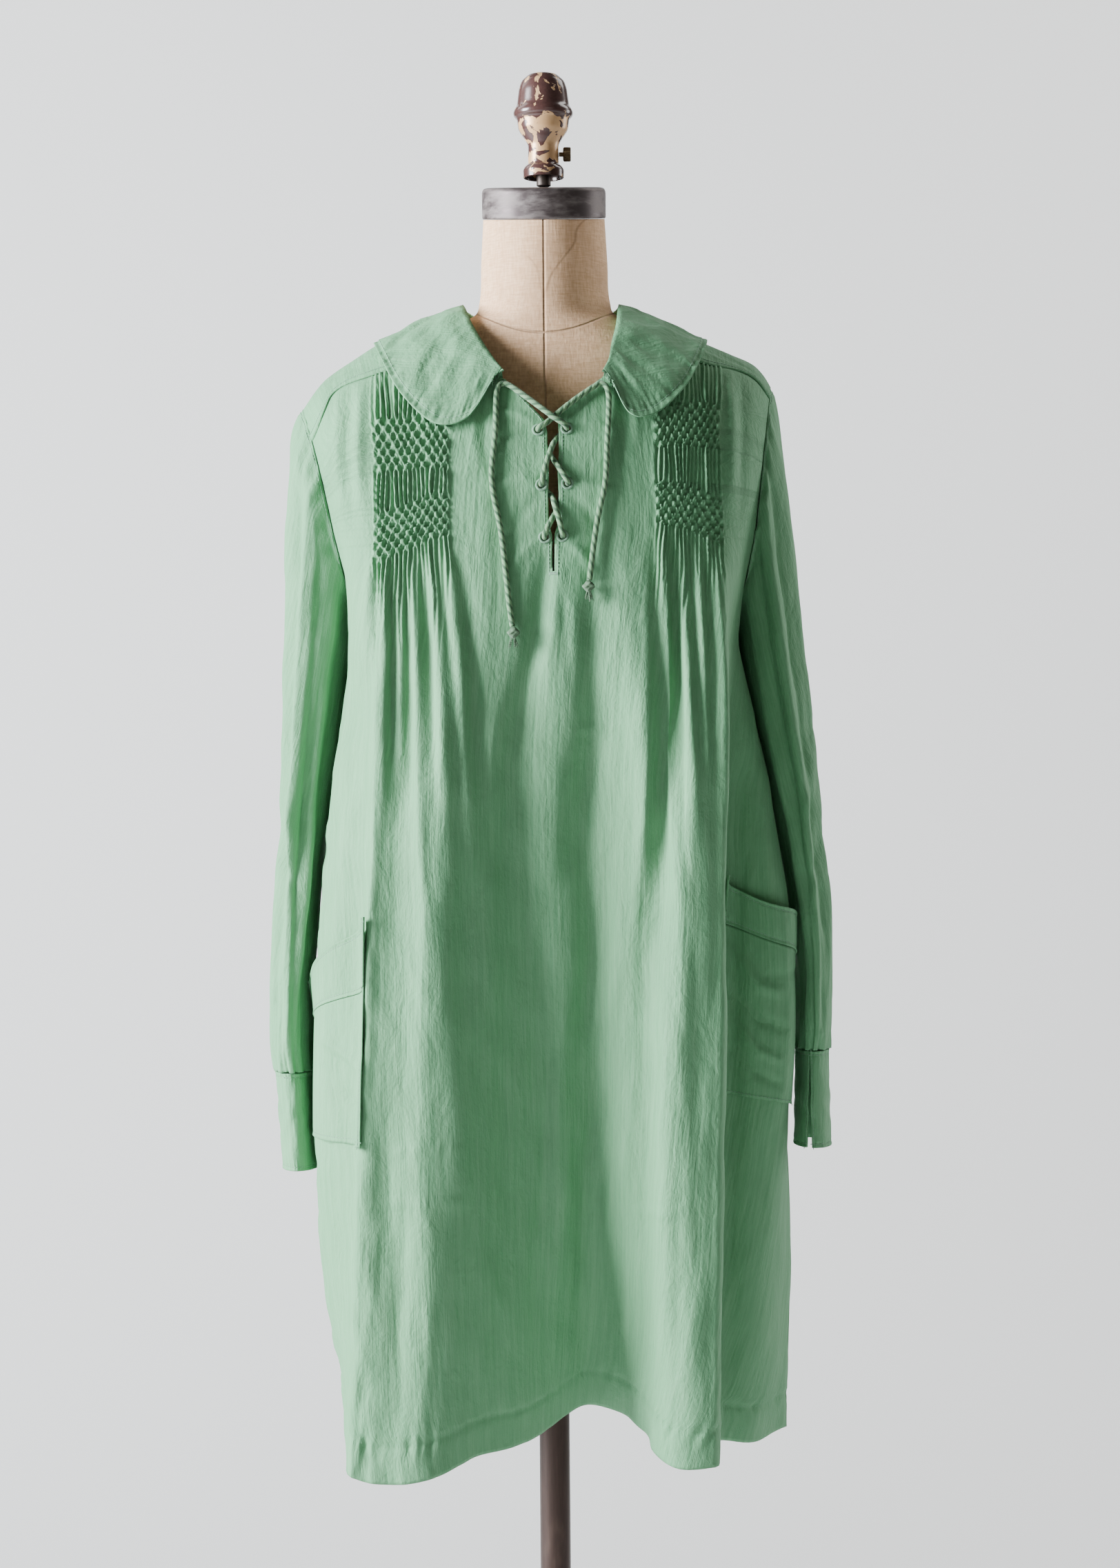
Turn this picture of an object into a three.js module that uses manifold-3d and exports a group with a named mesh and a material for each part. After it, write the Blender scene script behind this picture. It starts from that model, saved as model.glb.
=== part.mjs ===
// Tunic dress with two smocked panels, a laced neck slit, a round collar and long cuffed sleeves,
// on a dress form that stands on a round base.
// Millimetres, +Z up, floor at z = 0, front facing -Y. Left is the -X side, as seen from the front.

import * as THREE from 'three';
import { mergeVertices } from 'three/addons/utils/BufferGeometryUtils.js';
import Module from 'manifold-3d';

const wasm = await Module();
wasm.setup();

// Cloth
const CLOTH = 1.5;
const SEAM_GAP = 0.4;
const LAID_GAP = 1.1;

// Heights that the cut of the dress hangs on
const LEVEL_Z = { chest: 1225, bust: 1120, waist: 1016, hip: 850, thigh: 660, hem: 470 };
const LEVEL_NAMES = Object.keys(LEVEL_Z);
const UNDERARM_Z = 1150;
const UNDERARM_X = 157;
const ARMHOLE_HALF_DEPTH = 59;
const ARMHOLE_CHEST_X = { left: -175, right: 172 };
const SHOULDER_SPREAD = { left: 0.16, right: 0.093 };
const ARCH_POWER = { front: 2, back: 2.6 };
const ARCH_CENTRE_Z = 1000;
const NEAR_RIDGE = 0.9999;
const NEAR_EDGE = 0.999;
const SPREAD_AT_COLLAR = 0.8;

// Vertical fold lines of the front, from the left side to the right, as [x, y] at each level
const FRONT_FOLDS = [
  { fold: 'left side', chest: [-164, -86], bust: [-163, -72], waist: [-176, -70], hip: [-189, -70],
    thigh: [-190, -68], hem: [-171, -74], hemZ: 496 },
  { fold: 'left corner', chest: [-146, -104], bust: [-141, -122], waist: [-139, -132],
    hip: [-145, -138], thigh: [-150, -142], hem: [-162, -148], hemZ: 467 },
  { fold: 'left hollow', chest: [-110, -113], bust: [-112, -126], waist: [-116, -134],
    hip: [-128, -143], thigh: [-128, -146], hem: [-130, -156], hemZ: 461 },
  { fold: 'left ridge', chest: [-72, -117], bust: [-78, -134], waist: [-84, -147],
    hip: [-100, -152], thigh: [-98, -154], hem: [-92, -157], hemZ: 467 },
  { fold: 'left fall', chest: [-35, -119], bust: [-42, -130], waist: [-46, -133],
    hip: [-52, -134], thigh: [-52, -130], hem: [-66, -132], hemZ: 477 },
  { fold: 'shallow trough', chest: [0, -120], bust: [-10, -128], waist: [-14, -121],
    hip: [-16, -115], thigh: [-18, -108], hem: [-33, -104], hemZ: 480 },
  { fold: 'centre step', chest: [25, -119.5], bust: [12, -131], waist: [6, -125],
    hip: [6, -113], thigh: [5, -100], hem: [-4, -68], hemZ: 488 },
  { fold: 'deep trough', chest: [50, -119], bust: [38, -127], waist: [33, -113],
    hip: [32, -103], thigh: [28, -86], hem: [24, -44], hemZ: 503 },
  { fold: 'rise', chest: [70, -117.5], bust: [58, -131], waist: [56, -124],
    hip: [50, -112], thigh: [48, -98], hem: [52, -56], hemZ: 499 },
  { fold: 'right ridge', chest: [92, -115], bust: [82, -133], waist: [78, -140],
    hip: [66, -128], thigh: [64, -122], hem: [70, -92], hemZ: 490 },
  { fold: 'notch', chest: [110, -112], bust: [100, -124], waist: [95, -129],
    hip: [84, -135], thigh: [80, -138], hem: [77, -126], hemZ: 481 },
  { fold: 'right lobe', chest: [128, -107], bust: [116, -130], waist: [110, -143],
    hip: [106, -148], thigh: [104, -151], hem: [98, -152], hemZ: 471 },
  { fold: 'right corner', chest: [146, -98], bust: [143, -120], waist: [142, -130],
    hip: [137, -136], thigh: [132, -143], hem: [128, -150], hemZ: 472 },
  { fold: 'right fold back', chest: [157, -86], bust: [151, -92], waist: [152, -78],
    hip: [149, -72], thigh: [138, -66], hem: [132, -62], hemZ: 474 },
  { fold: 'right side', chest: [166, -72], bust: [158, -62], waist: [171, -58],
    hip: [196, -66], thigh: [182, -46], hem: [166, -32], hemZ: 468 },
];

// Fold lines of the back, from the right side to the left
const BACK_FOLDS = [
  { fold: 'right back side', chest: [162, 74], bust: [159, 62], waist: [172, 60],
    hip: [184, 64], thigh: [192, 66], hem: [190, 70], hemZ: 474 },
  { fold: 'right back corner', chest: [140, 92], bust: [136, 100], waist: [140, 100],
    hip: [150, 108], thigh: [158, 112], hem: [160, 118], hemZ: 474 },
  { fold: 'right back ridge', chest: [100, 108], bust: [98, 114], waist: [100, 106],
    hip: [108, 114], thigh: [112, 124], hem: [116, 134], hemZ: 472 },
  { fold: 'right back trough', chest: [62, 115], bust: [60, 114], waist: [62, 97],
    hip: [66, 103], thigh: [70, 107], hem: [76, 106], hemZ: 475 },
  { fold: 'centre back ridge', chest: [25, 119], bust: [22, 120], waist: [20, 106],
    hip: [22, 114], thigh: [24, 124], hem: [26, 134], hemZ: 471 },
  { fold: 'centre back trough', chest: [-18, 120], bust: [-18, 114], waist: [-20, 97],
    hip: [-20, 104], thigh: [-20, 107], hem: [-20, 106], hemZ: 475 },
  { fold: 'left back ridge', chest: [-58, 116], bust: [-58, 120], waist: [-60, 106],
    hip: [-64, 114], thigh: [-68, 124], hem: [-70, 133], hemZ: 472 },
  { fold: 'left back trough', chest: [-98, 108], bust: [-96, 112], waist: [-100, 98],
    hip: [-106, 104], thigh: [-112, 107], hem: [-114, 107], hemZ: 478 },
  { fold: 'left back corner', chest: [-140, 90], bust: [-136, 100], waist: [-142, 102],
    hip: [-152, 110], thigh: [-156, 112], hem: [-150, 112], hemZ: 490 },
  { fold: 'left back side', chest: [-164, 72], bust: [-160, 60], waist: [-172, 60],
    hip: [-184, 62], thigh: [-186, 64], hem: [-168, 64], hemZ: 508 },
];

// Side seams below the armholes
const SIDE_SEAMS = {
  left: { chest: [-175, 0], bust: [-157.5, 0], waist: [-174, 4], hip: [-188, 6],
    thigh: [-192, 8], hem: [-170, 6], hemZ: 519 },
  right: { chest: [172, 0], bust: [157.5, 0], waist: [173, 4], hip: [188, 8],
    thigh: [200, 6], hem: [195, 6], hemZ: 473 },
};

// Height of the shoulder ridge across the dress
const RIDGE = [
  { x: -206, z: 1329 }, { x: -190, z: 1349 }, { x: -181, z: 1358 }, { x: -140, z: 1385 },
  { x: -69, z: 1415 }, { x: 0, z: 1421 }, { x: 61, z: 1415 }, { x: 131, z: 1385 },
  { x: 150, z: 1377 }, { x: 173, z: 1366 }, { x: 182, z: 1357 }, { x: 190, z: 1344 },
];

// Top edge of the front: yoke seam, neckline, yoke seam
const FRONT_TOP = [
  { x: -195, z: 1298 }, { x: -188, z: 1309 }, { x: -181, z: 1325 }, { x: -176, z: 1337 },
  { x: -166, z: 1345 }, { x: -142, z: 1352 }, { x: -110, z: 1362 }, { x: -81, z: 1374 },
  { x: -60, z: 1384 }, { x: -50, z: 1374 }, { x: -35, z: 1346 }, { x: 46, z: 1345 },
  { x: 54, z: 1366 }, { x: 65, z: 1381 }, { x: 90, z: 1374 }, { x: 129, z: 1361 },
  { x: 150, z: 1358 }, { x: 164, z: 1355 }, { x: 175, z: 1349 }, { x: 187, z: 1334 },
];

// Top edge of the back
const BACK_TOP = [
  { x: -198, z: 1303 }, { x: -170, z: 1330 }, { x: -110, z: 1368 }, { x: -62, z: 1404 },
  { x: -40, z: 1406 }, { x: 0, z: 1404 }, { x: 40, z: 1406 }, { x: 60, z: 1404 },
  { x: 110, z: 1368 }, { x: 165, z: 1332 }, { x: 190, z: 1312 },
];

// V neck and slit, clockwise from its left arm, in x and z
const NECK_CUT = [
  { x: -38, z: 1420 }, { x: -33, z: 1346 }, { x: -0.5, z: 1310 }, { x: 1.6, z: 1300 },
  { x: 1.6, z: 1285 }, { x: 2.6, z: 1266 }, { x: 1.8, z: 1250 }, { x: 2, z: 1226 },
  { x: 4.6, z: 1217 }, { x: 4.8, z: 1187 }, { x: 6.4, z: 1187 }, { x: 6.8, z: 1217 },
  { x: 9.8, z: 1226 }, { x: 10.4, z: 1250 }, { x: 9.6, z: 1266 }, { x: 10.8, z: 1285 },
  { x: 10.8, z: 1300 }, { x: 9.5, z: 1317 }, { x: 46, z: 1346 }, { x: 50, z: 1420 },
];
const EYELET_RADIUS = 3.7;
const EYELET_SIDES = 8;
const CUT_FROM_Y = -50;
const CUT_DEPTH = 120;
const EYELETS = [
  { x: -5.6, z: 1302 }, { x: -3.4, z: 1257 }, { x: -1.2, z: 1214.5 },
  { x: 17.2, z: 1303 }, { x: 17.4, z: 1258 }, { x: 13, z: 1215.5 },
];

// Smocked panels: x of their sides, heights of the top, of the two honeycomb bands and of the end
const SMOCK_PLEATS = 16;
const SMOCK_HEIGHT = 1.7;
const SMOCK_BASE = 0.3;
const SMOCK_SINK = 1.25;
const CELL_ROWS = 4;
const CELL_PULL = 0.24;
const SMOCKED = [
  { fromX: -141, toX: -77, topZ: 1346, upper: [1309, 1274], lower: [1238, 1208], endZ: 1186 },
  { fromX: 87, toX: 143, topZ: 1352, upper: [1321, 1291], lower: [1252, 1222], endZ: 1196 },
];

// Sleeves from the armhole to the cuff: outer and inner point of each ring as [x, z]
const SLEEVES = {
  left: [
    { outer: [-212, 1314], inner: [-160, 1136], halfDepth: 62 },
    { outer: [-216, 1280], inner: [-163, 1114], halfDepth: 63 },
    { outer: [-217.5, 1220], inner: [-169, 1076], halfDepth: 64 },
    { outer: [-219.5, 1140], inner: [-178, 1028], halfDepth: 63 },
    { outer: [-222, 1050], inner: [-185.5, 982], halfDepth: 62 },
    { outer: [-226, 970], inner: [-191, 942], halfDepth: 60 },
    { outer: [-230, 905], inner: [-195, 898], halfDepth: 58 },
    { outer: [-234.5, 850], inner: [-198, 846], halfDepth: 55 },
    { outer: [-235, 802], inner: [-199, 799], halfDepth: 51 },
    { outer: [-232, 778.5], inner: [-199, 778.5], halfDepth: 45 },
  ],
  right: [
    { outer: [194, 1326], inner: [160, 1136], halfDepth: 62 },
    { outer: [199, 1286], inner: [163, 1114], halfDepth: 63 },
    { outer: [206, 1220], inner: [169, 1076], halfDepth: 64 },
    { outer: [213, 1148], inner: [178, 1034], halfDepth: 63 },
    { outer: [220.5, 1070], inner: [187, 990], halfDepth: 62 },
    { outer: [228, 985], inner: [194.5, 948], halfDepth: 60 },
    { outer: [234, 920], inner: [200, 906], halfDepth: 58 },
    { outer: [236, 863], inner: [204.5, 858], halfDepth: 55 },
    { outer: [235, 812], inner: [205.5, 810], halfDepth: 51 },
    { outer: [233, 793.5], inner: [205.5, 793.5], halfDepth: 45 },
  ],
};
const SLEEVE_COLUMNS = 20;
const CUFF_GATHERS = 8;
const GATHER_SWELL = 0.03;
const GATHERED_RINGS = 3;
const SLEEVE_AXIS_X = 205;
const ARMHOLE_GAP = 0.8;

// Cuffs: top and lower ring as half sizes, slit as an angle round the cuff and its half width
const CUFFS = {
  left: { x: [-215.5, -211], z: [778, 697], halfWidth: [16, 15], halfDepth: [44.5, 41],
    slitAngle: -2.05, slitHalfAngle: [0.02, 0.1] },
  right: { x: [219.3, 219], z: [793, 712.5], halfWidth: [13.8, 15.5], halfDepth: [44.5, 41],
    slitAngle: 1.95, slitHalfAngle: [0.02, 0.16] },
};
const CUFF_WALL = 2.2;

// Pockets on the side folds: columns by fold number, edges as [front edge, side edge] heights
const POCKETS = {
  left: { columns: [2, 0.5], top: [911, 851], seam: [856, 822], bottom: [727, 729] },
  right: { columns: [13.5, 15.5], top: [941, 900], seam: [909, 870], bottom: [765, 748] },
};
const POCKET_WALL = 1.5;
const BAND_WALL = 2.4;
const BAND_FLARE = 2.6;

// Collar in plan: matching points of the neck edge and the outer edge, from the left front end
const COLLAR = [
  { neck: [-33, -92.5], outer: [-37, -92.5], lift: 7.6 },
  { neck: [-41, -86], outer: [-60, -105], lift: 6.6 },
  { neck: [-50, -75], outer: [-93, -103], lift: 4.6 },
  { neck: [-59, -58], outer: [-119, -86], lift: 4.2 },
  { neck: [-65, -32], outer: [-136, -50], lift: 3.6 },
  { neck: [-68, -2], outer: [-141, -2], lift: 3.6 },
  { neck: [-65, 28], outer: [-129, 42], lift: 3.6 },
  { neck: [-48, 54], outer: [-88, 82], lift: 3.6 },
  { neck: [-4, 67], outer: [-5, 103], lift: 3.6 },
  { neck: [42, 54], outer: [80, 82], lift: 3.6 },
  { neck: [58, 28], outer: [119, 42], lift: 3.6 },
  { neck: [61, -2], outer: [133, -2], lift: 3.6 },
  { neck: [60, -32], outer: [130, -48], lift: 3.6 },
  { neck: [58, -58], outer: [115, -82], lift: 4.2 },
  { neck: [54, -75], outer: [91, -100], lift: 4.6 },
  { neck: [51, -86], outer: [66, -104], lift: 6.6 },
  { neck: [46, -92.5], outer: [50, -92.5], lift: 7.6 },
];

// Shoulder yokes: fold number where the front seam ends, and the neck's x at ridge and back
const YOKES = {
  left: { seamColumn: 4.5, ridgeChestX: -58.5, backX: -54 },
  right: { seamColumn: 8.5, ridgeChestX: 56, backX: 55 },
};
const YOKE_ROWS = 4;
const YOKE_BACK_GAP = 1;

// Lace: each run from behind the foot of the slit, through its eyelets and up one arm of the V,
// round at the neck and down to its knot
const LACE_RADIUS = 2.2;
const LACE_SIDES = 8;
const LACE_STEPS = 58;
const LACES = {
  left: {
    route: [
      [6.7, -116, 1210], [9.6, -116, 1211], [13.1, -118, 1214.2], [13.2, -122, 1216.2],
      [12.4, -124.2, 1220.5], [9.8, -123.6, 1231], [7.4, -121.8, 1239], [5.5, -117.5, 1246],
      [2.4, -113.6, 1250.6], [-0.6, -112.8, 1253.6], [-2.9, -115.6, 1256.2], [-3.6, -119.4, 1257.8],
      [-2.6, -121.8, 1262], [0.4, -120.2, 1274], [3.4, -117.4, 1283], [6, -112.6, 1290],
      [8.9, -107.4, 1295.2], [13.6, -104.4, 1299.8], [17, -107, 1302.4],
      [17.2, -110.8, 1303.6], [15.4, -113.6, 1306.4], [8, -114.4, 1311.2], [0, -112.8, 1317.2],
      [-12, -107.4, 1326.8], [-22, -103, 1334.6], [-29, -99.8, 1339.6], [-33, -98.8, 1341],
      [-36.6, -99.6, 1340.4], [-39, -101.8, 1335.6], [-39.8, -105.4, 1325],
      [-40.2, -111.9, 1303], [-43.6, -119, 1267], [-42.4, -120.7, 1251],
      [-36.6, -122.4, 1221], [-32.5, -126.7, 1184], [-28.6, -130.2, 1148],
      [-27.4, -131.4, 1142.6],
    ],
    knot: [-26.9, -132.6, 1137.2],
  },
  right: {
    route: [
      [5.1, -116, 1209.8], [2.2, -116, 1210.4], [-1.3, -118, 1213.2], [-1.4, -122, 1215],
      [-0.6, -124.2, 1218.6], [2.2, -123, 1224.4], [5.6, -118.9, 1231], [9, -115.2, 1238.5],
      [12.2, -112.6, 1247], [15.6, -112.8, 1253.6], [17.7, -115.8, 1257],
      [17.6, -120.4, 1259], [15.4, -121.8, 1263.4], [10.8, -120.2, 1270.6], [6.6, -114, 1277.4],
      [2.4, -109.4, 1284.4], [-1.6, -107, 1292], [-4.2, -106.2, 1298.4], [-5.4, -108.4, 1301.2],
      [-5.8, -111.8, 1303], [-3.2, -113.4, 1305], [0.4, -112.4, 1307.2], [3.9, -108.4, 1310.4],
      [8.6, -109.6, 1314.4], [14, -109, 1318.8], [24, -105.6, 1326.8], [34, -102.6, 1334],
      [41, -100.6, 1338.6], [45, -99.6, 1340.6], [49, -100.6, 1338.6], [51.4, -103.8, 1331],
      [51.4, -108, 1318], [50.4, -112.6, 1303], [49.6, -115.6, 1288], [47.7, -120.5, 1258],
      [41.4, -122.2, 1229], [38, -124.1, 1207], [34.4, -127.6, 1179.6],
    ],
    knot: [33.6, -129.8, 1174],
  },
};
const KNOT_PROFILE = [
  { r: 0, z: -10 }, { r: 2.8, z: -9.6 }, { r: 2, z: -4.8 }, { r: 3.6, z: -3.6 }, { r: 4.4, z: -0.5 },
  { r: 3.9, z: 2.6 }, { r: 2.2, z: 4.6 }, { r: 0, z: 4.9 },
];

// Dress form: half width, front and back depth of its body at each height
const FORM_RINGS = [
  { z: 760, halfWidth: 146, front: 82, back: 88 },
  { z: 800, halfWidth: 153, front: 88, back: 92 },
  { z: 870, halfWidth: 150, front: 92, back: 92 },
  { z: 945, halfWidth: 132, front: 90, back: 86 },
  { z: 1020, halfWidth: 116, front: 86, back: 80 },
  { z: 1100, halfWidth: 130, front: 98, back: 84 },
  { z: 1170, halfWidth: 144, front: 110, back: 90 },
  { z: 1230, halfWidth: 156, front: 100, back: 92 },
  { z: 1290, halfWidth: 172, front: 84, back: 88 },
  { z: 1328, halfWidth: 180, front: 72, back: 78 },
  { z: 1350, halfWidth: 172, front: 66, back: 70 },
  { z: 1374, halfWidth: 145, front: 62, back: 64 },
  { z: 1393, halfWidth: 105, front: 58, back: 61 },
  { z: 1407, halfWidth: 63, front: 56, back: 57 },
  { z: 1420, halfWidth: 55, front: 54, back: 54 },
  { z: 1455, halfWidth: 53, front: 52, back: 52 },
  { z: 1491, halfWidth: 51, front: 51, back: 51 },
];
const FORM_COLUMNS = 24;
const NECK_TILT = THREE.MathUtils.degToRad(10);
const TILT_FROM_Z = 1410;
const TILT_FULL_Z = 1485;

// Turned pieces: profiles of radius and height
const PART_GAP = 0.3;
const CAP_Z = 1491 + 0.4;
const CAP_RADIUS = 52;
const CAP_HEIGHT = 26;
const CAP_PROFILE = [
  { r: 0, z: 0 }, { r: CAP_RADIUS, z: 0 }, { r: CAP_RADIUS, z: CAP_HEIGHT - 3.5 },
  { r: CAP_RADIUS - 1.1, z: CAP_HEIGHT - 1.1 }, { r: CAP_RADIUS - 3.5, z: CAP_HEIGHT },
  { r: 0, z: CAP_HEIGHT },
];
const ROD_RADIUS = 6;
const ROD_PROFILE = [
  { r: 0, z: 1518.9 }, { r: ROD_RADIUS, z: 1518.9 }, { r: ROD_RADIUS, z: 1545 },
  { r: 0, z: 1545 },
];
const FINIAL_PROFILE = [
  { r: ROD_RADIUS + PART_GAP, z: 1534 }, { r: 15, z: 1530 }, { r: 15.6, z: 1526 },
  { r: 17, z: 1526 }, { r: 17.2, z: 1530 }, { r: 15, z: 1534.5 }, { r: 12.8, z: 1537 },
  { r: 12.6, z: 1554 }, { r: 15.5, z: 1560 }, { r: 20.8, z: 1567 }, { r: 21.6, z: 1575 },
  { r: 24.6, z: 1577.5 }, { r: 25.2, z: 1580 }, { r: 24.2, z: 1582.5 }, { r: 21.6, z: 1584 },
  { r: 20.4, z: 1592 }, { r: 16.5, z: 1603 }, { r: 9, z: 1611.5 }, { r: 0, z: 1614.5 },
  { r: 0, z: 1546 }, { r: ROD_RADIUS + PART_GAP, z: 1546 }, { r: ROD_RADIUS + PART_GAP, z: 1534 },
];
const SCREW_X = 13;
const SCREW_Z = 1545.5;
const SCREW_PROFILE = [
  { r: 0, z: 0 }, { r: 2, z: 0 }, { r: 2, z: 3.2 }, { r: 5.4, z: 3.6 }, { r: 6, z: 4.4 },
  { r: 6, z: 9.2 }, { r: 5.4, z: 10 }, { r: 0, z: 10 },
];
const BASE_RADIUS = 210;
const POLE_RADIUS = 12.75;
const POLE_FOOT_Z = 12;
const POLE_TOP_Z = 757;
const BASE_PROFILE = [
  { r: 0, z: 0 }, { r: BASE_RADIUS - 3, z: 0 }, { r: BASE_RADIUS, z: 4 },
  { r: BASE_RADIUS - 1, z: 10 }, { r: BASE_RADIUS - 12, z: 15 }, { r: 120, z: 21 },
  { r: 46, z: 30 }, { r: 27, z: 38 }, { r: 22, z: 50 }, { r: 21, z: 72 }, { r: 19, z: 75 },
  { r: POLE_RADIUS + PART_GAP, z: 75 }, { r: POLE_RADIUS + PART_GAP, z: POLE_FOOT_Z - PART_GAP },
  { r: 0, z: POLE_FOOT_Z - PART_GAP },
];
const POLE_PROFILE = [
  { r: 0, z: POLE_FOOT_Z }, { r: POLE_RADIUS, z: POLE_FOOT_Z }, { r: POLE_RADIUS, z: POLE_TOP_Z },
  { r: 0, z: POLE_TOP_Z },
];
const PLATE_PROFILE = [
  { r: POLE_RADIUS + PART_GAP, z: 738 }, { r: 19, z: 738 }, { r: 22, z: 741 }, { r: 24, z: 753 },
  { r: 62, z: 755 }, { r: 62, z: 759.7 }, { r: POLE_RADIUS + PART_GAP, z: 759.7 },
  { r: POLE_RADIUS + PART_GAP, z: 738 },
];

// Smooth value of a column of a table between its rows
function along(table, key, at, atKey = 'x') {
  const last = table.length - 1;
  const rising = table[last][atKey] > table[0][atKey];
  const before = (i) => (rising ? table[i + 1][atKey] <= at : table[i + 1][atKey] >= at);
  let i = 0;
  while (i < last - 1 && before(i)) i += 1;
  const slope = (j) => {
    const a = table[Math.max(j - 1, 0)];
    const b = table[Math.min(j + 1, last)];
    return (b[key] - a[key]) / (b[atKey] - a[atKey]);
  };
  const [p, q] = [table[i], table[i + 1]];
  const span = q[atKey] - p[atKey];
  const t = THREE.MathUtils.clamp((at - p[atKey]) / span, 0, 1);
  const [a, b] = [slope(i) * span, slope(i + 1) * span];
  const t2 = t * t;
  const t3 = t2 * t;
  return (2 * t3 - 3 * t2 + 1) * p[key] + (t3 - 2 * t2 + t) * a
    + (3 * t2 - 2 * t3) * q[key] + (t3 - t2) * b;
}

// Place of one fold line at a height
function foldPoint(row, z, topZ = LEVEL_Z.chest) {
  const table = LEVEL_NAMES.filter((name) => name === 'chest' || LEVEL_Z[name] < topZ)
    .map((name) => ({ z: name === 'chest' ? topZ : LEVEL_Z[name], x: row[name][0], y: row[name][1] }));
  return new THREE.Vector3(along(table, 'x', z, 'z'), along(table, 'y', z, 'z'), z);
}

// Edge of a panel at one side: armhole above the underarm, side seam below it
function edgePoint(side, face, z) {
  const sign = side === 'left' ? -1 : 1;
  if (z > UNDERARM_Z) {
    const drop = (LEVEL_Z.chest - z) / (LEVEL_Z.chest - UNDERARM_Z);
    const x = THREE.MathUtils.lerp(ARMHOLE_CHEST_X[side], sign * UNDERARM_X, drop);
    const depth = ARMHOLE_HALF_DEPTH * Math.sqrt(Math.max(0, 1 - drop * drop));
    return new THREE.Vector3(x, face === 'front' ? -depth : depth, z);
  }
  const seam = { ...SIDE_SEAMS[side], chest: [sign * UNDERARM_X, 0] };
  return foldPoint(seam, z, UNDERARM_Z);
}

const PANELS = {
  front: { folds: FRONT_FOLDS, sides: ['left', 'right'], top: FRONT_TOP },
  back: { folds: BACK_FOLDS, sides: ['right', 'left'], top: BACK_TOP },
};

// Point of a panel's section at a height, where column 0 is its first edge and 1, 2, 3 its folds
function sectionPoint(face, column, z) {
  const { folds, sides } = PANELS[face];
  const points = [
    edgePoint(sides[0], face, z),
    ...folds.map((row) => foldPoint(row, z)),
    edgePoint(sides[1], face, z),
  ];
  const curve = new THREE.CatmullRomCurve3(points, false, 'centripetal');
  return curve.getPoint(column / (points.length - 1));
}

// Depth of the dress at chest height, at a place across it
function chestDepth(face, x) {
  const { folds } = PANELS[face];
  let low = 0;
  let high = folds.length + 1;
  const rising = face === 'front';
  for (let step = 0; step < 24; step += 1) {
    const middle = (low + high) / 2;
    const less = sectionPoint(face, middle, LEVEL_Z.chest).x < x;
    if (less === rising) low = middle;
    else high = middle;
  }
  return sectionPoint(face, low, LEVEL_Z.chest).y;
}

// Point of the arch over the shoulders, at a share of its height above the chest
function archPoint(face, chestX, chestY, rise) {
  const spread = SHOULDER_SPREAD[chestX < 0 ? 'left' : 'right'];
  const power = ARCH_POWER[face];
  const x = chestX * (1 + spread * rise);
  const depth = (1 - rise ** power) ** (1 / power);
  const height = along(RIDGE, 'z', x) - LEVEL_Z.chest;
  return new THREE.Vector3(x, chestY * depth, LEVEL_Z.chest + height * rise);
}

// Share of the arch's height at which a panel meets its top edge
function topRise(face, chestX, chestY) {
  let low = 0;
  let high = 1;
  for (let step = 0; step < 24; step += 1) {
    const middle = (low + high) / 2;
    const point = archPoint(face, chestX, chestY, middle);
    if (point.z < along(PANELS[face].top, 'z', point.x)) low = middle;
    else high = middle;
  }
  return low;
}

function hemHeight(face, column) {
  const { folds, sides } = PANELS[face];
  const rows = [SIDE_SEAMS[sides[0]], ...folds, SIDE_SEAMS[sides[1]]];
  return along(rows.map((row, i) => ({ i, hemZ: row.hemZ })), 'hemZ', column, 'i');
}

// Point of a panel: step 0 is its top edge, 1 the chest and 2 the hem
function panelPoint(face, column, step) {
  if (step <= 1) {
    const chest = sectionPoint(face, column, LEVEL_Z.chest);
    const rise = topRise(face, chest.x, chest.y) * (1 - step);
    return archPoint(face, chest.x, chest.y, rise);
  }
  const z = THREE.MathUtils.lerp(LEVEL_Z.chest, hemHeight(face, column), step - 1);
  return sectionPoint(face, column, z);
}

// Outward direction at each point of a grid, away from the axis of the tube that it belongs to
function gridNormals(grid, wraps, axisX = 0, axisZ = null) {
  const rows = grid.length;
  const columns = grid[0].length;
  const normals = grid.map((line, r) => line.map((point, c) => {
    const above = grid[Math.max(r - 1, 0)][c];
    const below = grid[Math.min(r + 1, rows - 1)][c];
    const before = wraps ? line[(c + columns - 1) % columns] : line[Math.max(c - 1, 0)];
    const after = wraps ? line[(c + 1) % columns] : line[Math.min(c + 1, columns - 1)];
    return after.clone().sub(before).cross(below.clone().sub(above)).normalize();
  }));
  let outward = 0;
  grid.forEach((line, r) => line.forEach((point, c) => {
    const axis = new THREE.Vector3(axisX, 0, axisZ ?? point.z);
    outward += normals[r][c].dot(point.clone().sub(axis));
  }));
  if (outward < 0) normals.flat().forEach((normal) => normal.negate());
  return normals;
}

function moved(grid, normals, distance) {
  return grid.map((line, r) => line.map((point, c) => {
    const amount = typeof distance === 'function' ? distance(r, c) : distance;
    return point.clone().addScaledVector(normals[r][c], amount);
  }));
}

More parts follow.
